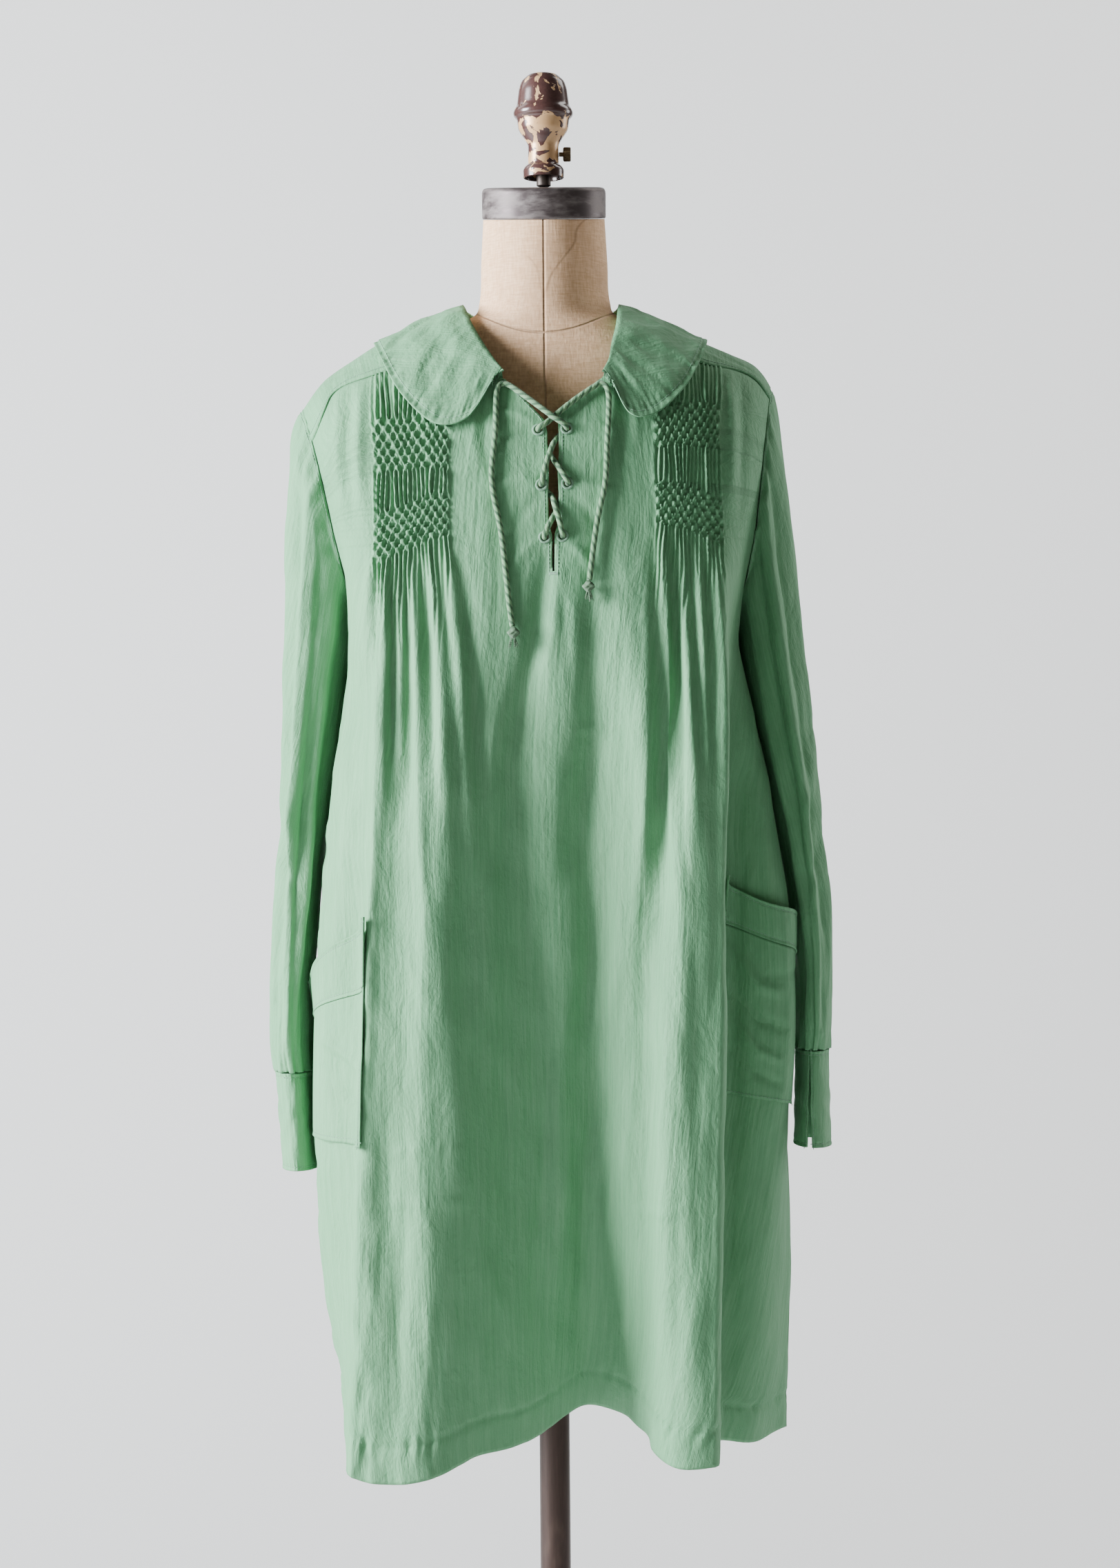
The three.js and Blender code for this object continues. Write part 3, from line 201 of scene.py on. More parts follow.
def noise(material, vector, scale, detail=3.0, roughness=0.55, distortion=0.0):
    node = step_in(material, "ShaderNodeTexNoise", Vector=vector, Scale=scale, Detail=detail,
                   Roughness=roughness, Distortion=distortion)
    return node.outputs["Fac"]


def ramp(material, value, low, high, start=0.0, end=1.0):
    """Value carried from low to high between start and end."""
    node = step_in(material, "ShaderNodeMapRange", {"interpolation_type": "SMOOTHSTEP"},
                   Value=value, From_Min=low, From_Max=high, To_Min=start, To_Max=end)
    return node.outputs["Result"]


def sums(material, operation, first, second=0.0):
    return step_in(material, "ShaderNodeMath", {"operation": operation}, n0=first,
                   n1=second).outputs[0]


def times(material, first, second):
    return sums(material, "MULTIPLY", first, second)


def sine(material, value, rate):
    return sums(material, "SINE", times(material, value, rate))


def blended(material, share, first, second):
    """Colour between two swatches or sockets."""
    first, second = (shade(*c) if isinstance(c, tuple) else c for c in (first, second))
    return step_in(material, "ShaderNodeMix", {"data_type": "RGBA"}, n0=share, n6=first,
                   n7=second).outputs[2]


def raised(material, height, distance, strength=1.0, under=None):
    """Bump of a height, in metres, over the bump before it."""
    before = {} if under is None else {"Normal": under}
    return step_in(material, "ShaderNodeBump", Height=height, Distance=distance,
                   Strength=strength, **before).outputs["Normal"]


def through(points, columns):
    """Point of the smooth curve through the given points, at each column number."""
    points = np.asarray(points, float)
    n = len(points)
    wide = np.vstack([2 * points[0] - points[1], points, 2 * points[-1] - points[-2]])
    first = np.clip(np.floor(columns).astype(int), 0, n - 2)
    return curve_point([wide[first + k] for k in range(4)], np.asarray(columns, float) - first)


def curve_point(four, share):
    """Centripetal curve between the middle two of four neighbouring points."""
    p0, p1, p2, p3 = four
    gap = [np.maximum(np.sqrt(np.linalg.norm(b - a, axis=-1)), 1e-3)[..., None]
           for a, b in ((p0, p1), (p1, p2), (p2, p3))]
    start = ((p1 - p0) / gap[0] - (p2 - p0) / (gap[0] + gap[1]) + (p2 - p1) / gap[1]) * gap[1]
    end = ((p2 - p1) / gap[1] - (p3 - p1) / (gap[1] + gap[2]) + (p3 - p2) / gap[2]) * gap[1]
    w = share[..., None]
    return (p1 + start * w + (-3 * p1 + 3 * p2 - 2 * start - end) * w ** 2
            + (2 * p1 - 2 * p2 + start + end) * w ** 3)


def reach_across(grid):
    """Distance along each row of a grid from its first point."""
    steps = np.diff(grid, axis=1, prepend=grid[:, :1])
    return np.cumsum(np.linalg.norm(steps, axis=-1), axis=1)


def even(points, spacing):
    """The same line with points an even distance apart, and the distance along it of each."""
    points = np.asarray(points, float)
    reach = reach_across(points[None])[0]
    at = np.linspace(0, reach[-1], max(2, int(round(reach[-1] / spacing)) + 1))
    return np.stack([np.interp(at, reach, points[:, k]) for k in range(3)], axis=1), at


def tube(line, radius_at, sides):
    """Rings of points round a line, without twist."""
    tangent = np.gradient(line, axis=0)
    tangent /= np.linalg.norm(tangent, axis=1)[:, None]
    side = np.cross(tangent[0], (0, 0, 1) if abs(tangent[0][2]) < 0.9 else (1, 0, 0))
    angle = np.linspace(0, 2 * np.pi, sides, endpoint=False)
    rings = []
    for i, point in enumerate(line):
        side = side - tangent[i] * side.dot(tangent[i])
        side /= np.linalg.norm(side)
        spokes = np.outer(np.cos(angle), side) + np.outer(np.sin(angle), np.cross(tangent[i], side))
        rings.append(point + radius_at(i, angle)[:, None] * spokes)
    return np.array(rings)


def tube_faces(rings, sides, start=0):
    """Faces of a closed tube of rings, with a cap at each end."""
    faces = []
    for r in range(rings - 1):
        a = start + r * sides
        faces += [(a + s, a + (s + 1) % sides, a + sides + (s + 1) % sides, a + sides + s)
                  for s in range(sides)]
    faces.append(tuple(start + s for s in reversed(range(sides))))
    faces.append(tuple(start + (rings - 1) * sides + s for s in range(sides)))
    return faces


twist = finish("sage cord", (132, 172, 142), 0.8)
along_cord = axes_of(twist, place_of(twist, uv="cloth"))
turns = sums(twist, "ADD", times(twist, along_cord["X"], 1000 / TWIST_PITCH), along_cord["Y"])
strand = sine(twist, turns, 2 * math.pi * STRANDS)
fibre = noise(twist, place_of(twist, (2600, 60, 1), uv="cloth"), 1.0, 2.0)
light_green = blended(twist, fibre, (98, 146, 100), (136, 178, 132))
dark_green = blended(twist, fibre, (40, 84, 50), (68, 114, 76))
plied = sums(twist, "SINE", sums(twist, "ADD", times(twist, turns, 2 * math.pi * FINE_PLIES),
                                 times(twist, fibre, 3.0)))
dress(twist, Base_Color=blended(twist, ramp(twist, strand, -0.7, 0.1), dark_green, light_green),
      Normal=raised(twist, plied, 0.00018, 0.8), Sheen_Weight=0.3)

SIDES = 20
KNOT_RADIUS, KNOT_RINGS, KNOT_SIDES = 4.3, 24, 28
FRAYED, FRAY_RINGS, FRAY_SIDES = 22, 6, 5
for side, lace in LACES.items():
    route = np.array(lace["route"], float)
    fine = through(route, np.linspace(0, len(route) - 1, 60 * len(route)))
    line, reach = even(fine, 0.85)
    turn = 2 * np.pi * reach / TWIST_PITCH

    def cord_radius(i, angle):
        groove = np.abs(np.sin(2 * (angle + turn[i])))
        return LACE_RADIUS * (1.08 - 0.28 * (1 - groove) ** 2)

    rings = tube(line, cord_radius, SIDES)
    around = np.arange(SIDES + 1) / SIDES
    uv = [corner for a, b in zip(reach * MM, reach[1:] * MM) for c, d in zip(around, around[1:])
          for corner in ((a, c), (a, d), (b, d), (b, c))]
    uv += [(0, c) for c in around[-2::-1]] + [(reach[-1] * MM, c) for c in around[:-1]]
    cord = finished(f"cord_{side}", rings.reshape(-1, 3), tube_faces(len(line), SIDES), twist, uv)

    # Knot: two lumpy turns with a hollow between them, and the frayed end under it
    spread = np.random.default_rng(lace["seed"])
    centre = np.array(lace["knot"], float)
    knot_line = centre + np.linspace((0, 0, 5.2), (0, 0, -4.6), KNOT_RINGS)

    def knot_radius(i, angle):
        height = i / (KNOT_RINGS - 1)
        body = KNOT_RADIUS * np.sin(np.pi * min(max(height, 0.02), 0.98)) ** 0.55
        bumps = 0.75 * np.sin(2 * angle + 9 * height) + 0.4 * np.sin(5 * angle - 14 * height)
        return np.maximum(body + bumps * np.sin(np.pi * height), 0.5)

    def fray_radius(i, angle):
        return 0.42 - 0.04 * i + 0 * angle

    points = [tube(knot_line, knot_radius, KNOT_SIDES).reshape(-1, 3)]
    faces = tube_faces(KNOT_RINGS, KNOT_SIDES)
    for i in range(FRAYED):
        angle, lean = spread.uniform(0, 2 * np.pi), spread.uniform(0.1, 0.42)
        away = np.array([math.cos(angle), 0.7 * math.sin(angle), 0])
        drop = np.linspace(0, spread.uniform(5.5, 8.6), FRAY_RINGS)[:, None]
        fray = centre + away * 1.2 + [0, 0, -3.2] + away * lean * drop - [0, 0, 1] * drop
        fray += 0.5 * np.sin(drop * 0.8 + i) * np.roll(away, 1)
        faces += tube_faces(FRAY_RINGS, FRAY_SIDES, sum(len(p) for p in points))
        points.append(tube(fray, fray_radius, FRAY_SIDES).reshape(-1, 3))
    knot_uv = [(0.002 * k, 0.13 * k) for face in faces for k in range(len(face))]
    knot = finished(f"cord_knot_{side}", np.vstack(points), faces, twist, knot_uv)
    for piece, node in ((cord, f"lace_{side}"), (knot, f"lace_knot_{side}")):
        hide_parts(node)
        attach(piece, BODY)
    path, length = even(fine, 3.0)

# Front: one panel of slub cotton cut wide, smocked in two blocks and hung from the yokes. Its V is
# faced and slit; the folds fall from the smocking to a turned hem.
UNDERARM_Z = 1150
UNDERARM_X = 157
ARMHOLE_HALF_DEPTH = 59
ARMHOLE_CHEST_X = {"left": -175, "right": 172}
SHOULDER_SPREAD = {"left": 0.16, "right": 0.093}
ARCH_POWER = {"front": 2.0, "back": 2.6}
LEVEL_Z = np.array([1225, 1120, 1016, 850, 660, 470], float)
CHEST_Z = LEVEL_Z[0]

# Fold lines from the left side to the right: x and y at each of LEVEL_Z, then the hem's height
FRONT_FOLDS = np.array([
    (-164, -86, -163, -72, -176, -70, -189, -70, -190, -68, -171, -74, 496),
    (-146, -104, -141, -122, -139, -132, -145, -138, -150, -142, -162, -148, 467),
    (-110, -113, -112, -126, -116, -134, -128, -143, -128, -146, -130, -156, 461),
    (-72, -117, -78, -134, -84, -147, -100, -152, -98, -154, -92, -157, 467),
    (-35, -119, -42, -130, -46, -133, -52, -134, -52, -130, -66, -132, 477),
    (0, -120, -10, -128, -14, -121, -16, -115, -18, -108, -33, -104, 480),
    (25, -119.5, 12, -131, 6, -125, 6, -113, 5, -100, -4, -68, 488),
    (50, -119, 38, -127, 33, -113, 32, -103, 28, -86, 24, -44, 503),
    (70, -117.5, 58, -131, 56, -124, 50, -112, 48, -98, 52, -56, 499),
    (92, -115, 82, -133, 78, -140, 66, -128, 64, -122, 70, -92, 490),
    (110, -112, 100, -124, 95, -129, 84, -135, 80, -138, 77, -126, 481),
    (128, -107, 116, -130, 110, -143, 106, -148, 104, -151, 98, -152, 471),
    (146, -98, 143, -120, 142, -130, 137, -136, 132, -143, 128, -150, 472),
    (157, -86, 151, -92, 152, -78, 149, -72, 138, -66, 132, -62, 474),
    (166, -72, 158, -62, 171, -58, 196, -66, 182, -46, 166, -32, 468)], float)
BACK_FOLDS = np.array([
    (162, 74, 159, 62, 172, 60, 184, 64, 192, 66, 190, 70, 474),
    (140, 92, 136, 100, 140, 100, 150, 108, 158, 112, 160, 118, 474),
    (100, 108, 98, 114, 100, 106, 108, 114, 112, 124, 116, 134, 472),
    (62, 115, 60, 114, 62, 97, 66, 103, 70, 107, 76, 106, 475),
    (25, 119, 22, 120, 20, 106, 22, 114, 24, 124, 26, 134, 471),
    (-18, 120, -18, 114, -20, 97, -20, 104, -20, 107, -20, 106, 475),
    (-58, 116, -58, 120, -60, 106, -64, 114, -68, 124, -70, 133, 472),
    (-98, 108, -96, 112, -100, 98, -106, 104, -112, 107, -114, 107, 478),
    (-140, 90, -136, 100, -142, 102, -152, 110, -156, 112, -150, 112, 490),
    (-164, 72, -160, 60, -172, 60, -184, 62, -186, 64, -168, 64, 508)], float)
SIDE_SEAMS = {
    "left": np.array((-175, 0, -157.5, 0, -174, 4, -188, 6, -192, 8, -170, 6, 519), float),
    "right": np.array((172, 0, 157.5, 0, 173, 4, 188, 8, 200, 6, 195, 6, 473), float)}
PANELS = {"front": (FRONT_FOLDS, ("left", "right")), "back": (BACK_FOLDS, ("right", "left"))}

# Height of the shoulder ridge, and of the top edge of each panel, at places across the dress
RIDGE = np.array([(-206, 1329), (-190, 1349), (-181, 1358), (-140, 1385), (-69, 1415), (0, 1421),
                  (61, 1415), (131, 1385), (150, 1377), (173, 1366), (182, 1357),
                  (190, 1344)], float)
TOP_EDGE = {
    "front": np.array([(-195, 1298), (-188, 1309), (-181, 1325), (-176, 1337), (-166, 1345),
                       (-142, 1352), (-110, 1362), (-81, 1374), (-60, 1384), (-50, 1374),
                       (-35, 1346), (46, 1345), (54, 1366), (65, 1381), (90, 1374), (129, 1361),
                       (150, 1358), (164, 1355), (175, 1349), (187, 1334)], float),
    "back": np.array([(-198, 1303), (-170, 1330), (-110, 1368), (-62, 1404), (-40, 1406), (0, 1404),
                      (40, 1406), (60, 1404), (110, 1368), (165, 1332), (190, 1312)], float)}


def unit(value):
    """Value held between 0 and 1."""
    return np.clip(value, 0, 1)


def bell(distance, width):
    """One on a line, falling off softly over a width to both sides."""
    return np.exp(-(distance / width) ** 2)


def along(places, values, at):
    """Smooth value of a table between its rows, flat past its ends."""
    places, values = np.asarray(places, float), np.asarray(values, float)
    if places[0] > places[-1]:
        places, values = places[::-1], values[::-1]
    rows = np.arange(len(places))
    ahead, behind = np.minimum(rows + 1, len(rows) - 1), np.maximum(rows - 1, 0)
    slope = ((values[ahead] - values[behind]).T / (places[ahead] - places[behind])).T
    i = np.clip(np.searchsorted(places, at, side="right") - 1, 0, len(rows) - 2)
    span = places[i + 1] - places[i]
    t = np.clip((at - places[i]) / span, 0, 1)
    return ((2 * t ** 3 - 3 * t ** 2 + 1) * values[i] + (t ** 3 - 2 * t ** 2 + t) * slope[i] * span
            + (3 * t ** 2 - 2 * t ** 3) * values[i + 1] + (t ** 3 - t ** 2) * slope[i + 1] * span)


def fold_line(row, z, top=CHEST_Z, top_point=None):
    """Place of a fold line or seam at heights."""
    levels = np.concatenate([[top], LEVEL_Z[1:]])
    x, y = row[0:12:2].copy(), row[1:12:2].copy()
    if top_point is not None:
        x[0], y[0] = top_point
    keep = levels <= top
    return np.stack([along(levels[keep], x[keep], z), along(levels[keep], y[keep], z), z], axis=-1)


def panel_edge(side, face, z):
    """Edge of a panel: the armhole above the underarm, the side seam below it."""
    sign = -1 if side == "left" else 1
    seam = fold_line(SIDE_SEAMS[side], np.minimum(z, UNDERARM_Z), UNDERARM_Z,
                     (sign * UNDERARM_X, 0))
    drop = unit((CHEST_Z - z) / (CHEST_Z - UNDERARM_Z))
    depth = ARMHOLE_HALF_DEPTH * np.sqrt(1 - drop ** 2) * (-1 if face == "front" else 1)
    hole = np.stack([ARMHOLE_CHEST_X[side] + (sign * UNDERARM_X - ARMHOLE_CHEST_X[side]) * drop,
                     depth, z], axis=-1)
    return np.where((z > UNDERARM_Z)[..., None], hole, seam)


def section(face, column, z):
    """Point of a panel by fold number and height, both arrays of one shape."""
    folds, sides = PANELS[face]
    column, z = np.broadcast_arrays(np.asarray(column, float), np.asarray(z, float))
    lines = [panel_edge(sides[0], face, z), *(fold_line(row, z) for row in folds),
             panel_edge(sides[1], face, z)]
    lines = np.stack([2 * lines[0] - lines[1], *lines, 2 * lines[-1] - lines[-2]])
    first = np.clip(np.floor(column).astype(int), 0, len(folds))
    index = np.indices(column.shape)
    four = [lines[(first + k, *index)] for k in range(4)]
    return curve_point(four, column - first)


def shoulder_spread(x):
    """How much wider a panel gets from the chest up to the shoulder, as a share."""
    return np.where(x < 0, SHOULDER_SPREAD["left"], SHOULDER_SPREAD["right"])


def arch(face, x, y, rise):
    """Point over the shoulders, at a share of the arch above the chest."""
    power = ARCH_POWER[face]
    across = x * (1 + shoulder_spread(x) * rise)
    height = along(RIDGE[:, 0], RIDGE[:, 1], across) - CHEST_Z
    return np.stack([across, y * (1 - rise ** power) ** (1 / power), CHEST_Z + height * rise],
                    axis=-1)


def top_rise(face, x, y):
    """Share of the arch at which a panel's top edge is met, found by halving."""
    low, high = np.zeros_like(x), np.ones_like(x)
    for _ in range(24):
        middle = (low + high) / 2
        point = arch(face, x, y, middle)
        under = point[..., 2] < along(TOP_EDGE[face][:, 0], TOP_EDGE[face][:, 1], point[..., 0])
        low, high = np.where(under, middle, low), np.where(under, high, middle)
    return low


def panel(face, columns, steps):
    """Grid of a panel: step 0 is its top edge, 1 the chest and 2 the hem."""
    folds, sides = PANELS[face]
    hems = [SIDE_SEAMS[sides[0]][12], *folds[:, 12], SIDE_SEAMS[sides[1]][12]]
    hem = along(np.arange(len(hems)), hems, columns)
    chest = section(face, columns, np.full(len(columns), CHEST_Z))
    full = top_rise(face, chest[:, 0], chest[:, 1])
    upper = [arch(face, chest[:, 0], chest[:, 1], full * (1 - s)) for s in steps if s <= 1]
    lower = np.array([s for s in steps if s > 1])[:, None]
    z = CHEST_Z + (hem[None, :] - CHEST_Z) * (lower - 1)
    return np.concatenate([np.array(upper), section(face, columns[None, :], z)])


def outward(grid, wraps=False, axis=(0, 0), flat_axis_z=None):
    """Directions out of a grid, away from the upright line that it goes round."""
    across = (np.roll(grid, -1, axis=1) - np.roll(grid, 1, axis=1) if wraps
              else np.gradient(grid, axis=1))
    normal = np.cross(across, np.gradient(grid, axis=0))
    normal /= np.maximum(np.linalg.norm(normal, axis=-1), 1e-9)[..., None]
    centre = np.stack([np.full(grid.shape[:2], axis[0]), np.full(grid.shape[:2], axis[1]),
                       grid[..., 2] if flat_axis_z is None
                       else np.full(grid.shape[:2], flat_axis_z)], axis=-1)
    return normal if ((grid - centre) * normal).sum() > 0 else -normal


def creased(x, z, table):
    """Height of soft folds: each row is x and z of three points, half width and height."""
    height = np.zeros_like(x)
    for x0, z0, x1, z1, x2, z2, width, rise in table:
        nearest, share = np.full(x.shape, 1e9), np.zeros_like(x)
        for ax, az, bx, bz, start in ((x0, z0, x1, z1, 0), (x1, z1, x2, z2, 1)):
            dx, dz = bx - ax, bz - az
            t = unit(((x - ax) * dx + (z - az) * dz) / (dx * dx + dz * dz))
            gap = np.hypot(x - ax - t * dx, z - az - t * dz)
            share = np.where(gap < nearest, (start + t) / 2, share)
            nearest = np.minimum(gap, nearest)
        height += rise * np.sin(np.pi * unit(share)) ** 0.6 * bell(nearest, width)
    return height


def crumpled(across, down, seed, wave, height):
    """Uneven soft dents of worn cloth: wave is their usual width in millimetres."""
    spread = np.random.default_rng(seed)
    dents = 0
    for _ in range(8):
        turn, start = spread.uniform(0, 2 * np.pi, 2)
        length = wave * spread.uniform(0.7, 1.7)
        dents += np.sin((across * math.cos(turn) + down * math.sin(turn)) * 2 * np.pi / length
                        + start + 1.4 * np.sin(down / (1.9 * wave) + 2 * start))
    return height * np.tanh(dents / 2)


def shell(name, outer, inner, material, wraps=False):
    """Closed thin cloth between two grids, with a map of its threads in metres."""
    rows, columns = outer.shape[:2]
    half = rows * columns
    last = columns if wraps else columns - 1
    ring = np.concatenate([outer, outer[:, :1]], axis=1) if wraps else outer
    u = reach_across(ring)
    u -= u[:, [u.shape[1] // 2]]
    falls = np.linalg.norm(np.diff(ring, axis=0, prepend=ring[:1]), axis=-1)
    v = -np.cumsum(falls.mean(axis=1))
    threads = np.stack([u, np.broadcast_to(v[:, None], u.shape)], axis=-1) * MM

    def strip(corners, sides, flip=False):
        """Faces through four places of the grids, each on the outer or the inner side."""
        quads = np.stack([side * half + r * columns + c % columns
                          for (r, c), side in zip(corners, sides)], axis=1)
        maps = np.stack([threads[r, c] for r, c in corners], axis=1)
        return (quads[:, ::-1], maps[:, ::-1]) if flip else (quads, maps)

    r, c = (a.ravel() for a in np.meshgrid(np.arange(rows - 1), np.arange(last), indexing="ij"))
    cells = [(r, c), (r + 1, c), (r + 1, c + 1), (r, c + 1)]
    strips = [strip(cells, (0, 0, 0, 0)), strip(cells, (1, 1, 1, 1), flip=True)]
    c = np.arange(last)
    edges = [((at + 0 * c, c), (at + 0 * c, c + 1), at > 0) for at in (0, rows - 1)]
    if not wraps:
        r = np.arange(rows - 1)
        edges += [((r, at + 0 * r), (r + 1, at + 0 * r), at == 0) for at in (0, columns - 1)]
    strips += [strip((a, b, b, a), (0, 0, 1, 1), flip) for a, b, flip in edges]
    faces, uv = (np.concatenate(parts) for parts in zip(*strips))
    points = np.concatenate([outer.reshape(-1, 3), inner.reshape(-1, 3)])
    a, b, c, d = (points[faces[:, k]] for k in range(4))
    if (a * (np.cross(b, c) + np.cross(c, d))).sum() < 0:
        faces, uv = faces[:, ::-1], uv[:, ::-1]
    return finished(name, points, faces.tolist(), material, uv.reshape(-1, 2))


COTTON_GREEN = (107, 162, 118)
THREAD_PITCH, ROW_PITCH = 0.0008, 0.0009


def cloth_finish(name, let_out=()):
    """Slub cotton in sage green: uneven upright threads, a plain weave and a light crumple.

    let_out holds the lines of old stitch holes: height and the two ends across, in metres.
    """
    cloth = finish(name, COTTON_GREEN, 0.74)
    axes = axes_of(cloth, place_of(cloth, uv="cloth"))
    streak = noise(cloth, place_of(cloth, (900, 26, 1), uv="cloth"), 1.0, 3.0, 0.6)
    slub = noise(cloth, place_of(cloth, (240, 8, 1), uv="cloth"), 1.0, 3.0, 0.6)
    fleck = noise(cloth, place_of(cloth, (1300, 210, 1), uv="cloth"), 1.0, 1.0, 0.5)
    cloud = noise(cloth, place_of(cloth), 11.0, 3.0)
    crumple = noise(cloth, place_of(cloth, (1, 1, 0.42)), 44.0, 4.0, 0.58, 0.4)
    fine = noise(cloth, place_of(cloth, (1, 1, 0.7)), 300.0, 3.0, 0.65)
    deep = tuple(int(c * k) for c, k in zip(COTTON_GREEN, (0.86, 0.93, 0.9)))
    pale = tuple(int(c * k) for c, k in zip(COTTON_GREEN, (1.1, 1.05, 1.08)))
    colour = blended(cloth, ramp(cloth, streak, 0.3, 0.72), deep, COTTON_GREEN)
    for pattern, low, high, share, tint in ((slub, 0.42, 0.66, 0.45, pale),
                                            (fleck, 0.66, 0.8, 0.5, pale),
                                            (cloud, 0.35, 0.7, 0.3, deep)):
        colour = blended(cloth, ramp(cloth, pattern, low, high, 0.0, share), colour, tint)
    weave = times(cloth, sine(cloth, axes["X"], 2 * math.pi / THREAD_PITCH),
                  sine(cloth, axes["Y"], 2 * math.pi / ROW_PITCH))
    bump = None
    for pattern, depth, strength in ((weave, 0.00006, 0.6), (streak, 0.0004, 0.5),
                                     (slub, 0.0011, 0.6), (fine, 0.0009, 0.6),
                                     (crumple, 0.0046, 0.62)):
        bump = raised(cloth, pattern, depth, strength, bump)
    body = axes_of(cloth, place_of(cloth))
    ripple = noise(cloth, place_of(cloth, (1, 1, 0.1)), 170.0, 2.0)
    for height, first, last in let_out:
        away = sums(cloth, "ABSOLUTE", sums(cloth, "SUBTRACT", body["Z"], height))
        near = ramp(cloth, away, 0.008, 0.0)
        for end, inner in ((first, first + 0.02), (last, last - 0.02)):
            near = times(cloth, near, ramp(cloth, body["X"], end, inner))
        bump = raised(cloth, times(cloth, near, ripple), 0.0022, 0.6, bump)
    dress(cloth, Base_Color=colour, Normal=bump, Sheen_Weight=0.1, Sheen_Roughness=0.5,
          Sheen_Tint=shade(200, 228, 208))
    return cloth


cotton = cloth_finish("sage slub cotton")
front_cotton = cloth_finish("sage slub cotton of the front", let_out=(
    (1.06, 0.01, 0.062), (0.725, -0.136, -0.06), (0.683, -0.15, -0.06), (0.672, 0.06, 0.11)))
CLOTH = 1.1


def spaced(parts):
    """Rising numbers: each part is its end and how many steps reach it."""
    values = [parts[0][0]]
    for end, count in parts[1:]:
        values += np.linspace(values[-1], end, count + 1)[1:].tolist()
    return np.array(values)


# Smocked blocks: x of the two sides, heights of the two honeycomb bands, slant of the lower band
# across the block, and where the pleats have let go
SMOCKED = [
    {"sides": (-142, -76), "upper": (1311, 1273), "lower": (1242, 1209), "slant": 20, "end": 1150},
    {"sides": (86, 144), "upper": (1323, 1290), "lower": (1253, 1221), "slant": -15, "end": 1166}]
PLEATS = 18
PLEAT_HEIGHT = 3.3
PLEAT_SINK = 0.8
CELLS = 6


def smocked(x, z, sides, upper, lower, slant, end):
    """Height of the drawn pleats: upright ridges that meet in pairs along the honeycomb rows."""
    middle, width = sum(sides) / 2, sides[1] - sides[0]
    x = x + 0.45 * np.sin(z / 9 + x / 3.7) + 0.5 * np.sin(z / 17 - x / 8) \
        + 0.5 * np.sin(z / 31 + x / 5)
    z = z + 0.9 * np.sin(x / 11 + 1) + 0.6 * np.sin(x / 4.7 + z / 40)
    lean = slant * (x - middle) / width
    down = z - np.where(z < upper[1], lean * unit((upper[1] - z) / (upper[1] - lower[0])), 0)
    down = down + 0.3 * lean * np.clip((z - upper[1]) / 60, -0.5, 0)
    fan = 1 + 0.1 * np.clip((z - upper[0]) / 60, -0.4, 1) + 0.22 * unit((lower[1] - z) / 90)
    at = (x - middle) / (width / PLEATS * fan) + PLEATS / 2
    pull, dent = np.zeros_like(x), np.zeros_like(x)
    for high, low in (upper, lower):
        cell = (high - low) / CELLS
        inside = (down <= high + cell / 2) & (down >= low - cell / 2)
        wave = np.cos(np.pi * (high - down) / cell)
        pull = np.where(inside, np.sign(wave) * np.abs(wave) ** 0.7, pull)
        dent = np.where(inside, unit(np.abs(wave) - 0.75) * 4, dent)
    past = (down > upper[0]) | (down < lower[1])
    loose = past * unit(np.minimum(np.abs(down - upper[0]), np.abs(down - lower[1])) / 9)
    loose = np.maximum(loose, 0.7 * unit(np.minimum(upper[1] - down, down - lower[0]) / 7))
    height = np.zeros_like(x)
    for k in range(PLEATS):
        offset = 0.37 * pull * (1 if k % 2 else -1)
        tall = 1 + loose * (0.25 - 0.85 * (0.5 + 0.5 * np.sin(2.4 * k * k + 1)))
        height = np.maximum(height, tall * np.exp(-np.abs((at - k - 0.5 - offset) / 0.27) ** 2.4))
    drawn = unit(along([1386, 1340, upper[0], upper[1], (upper[1] + lower[0]) / 2, lower[0],
                        lower[1], lower[1] - 20, end - 40],
                       [0.3, 0.6, 0.9, 0.9, 1.0, 0.95, 0.9, 0.6, 0.0], down))
    drawn = drawn * unit(at / 0.6) * unit((PLEATS - at) / 0.6)
    return drawn * (PLEAT_HEIGHT * height * (1 - 0.3 * dent) - PLEAT_SINK * (1 - height))


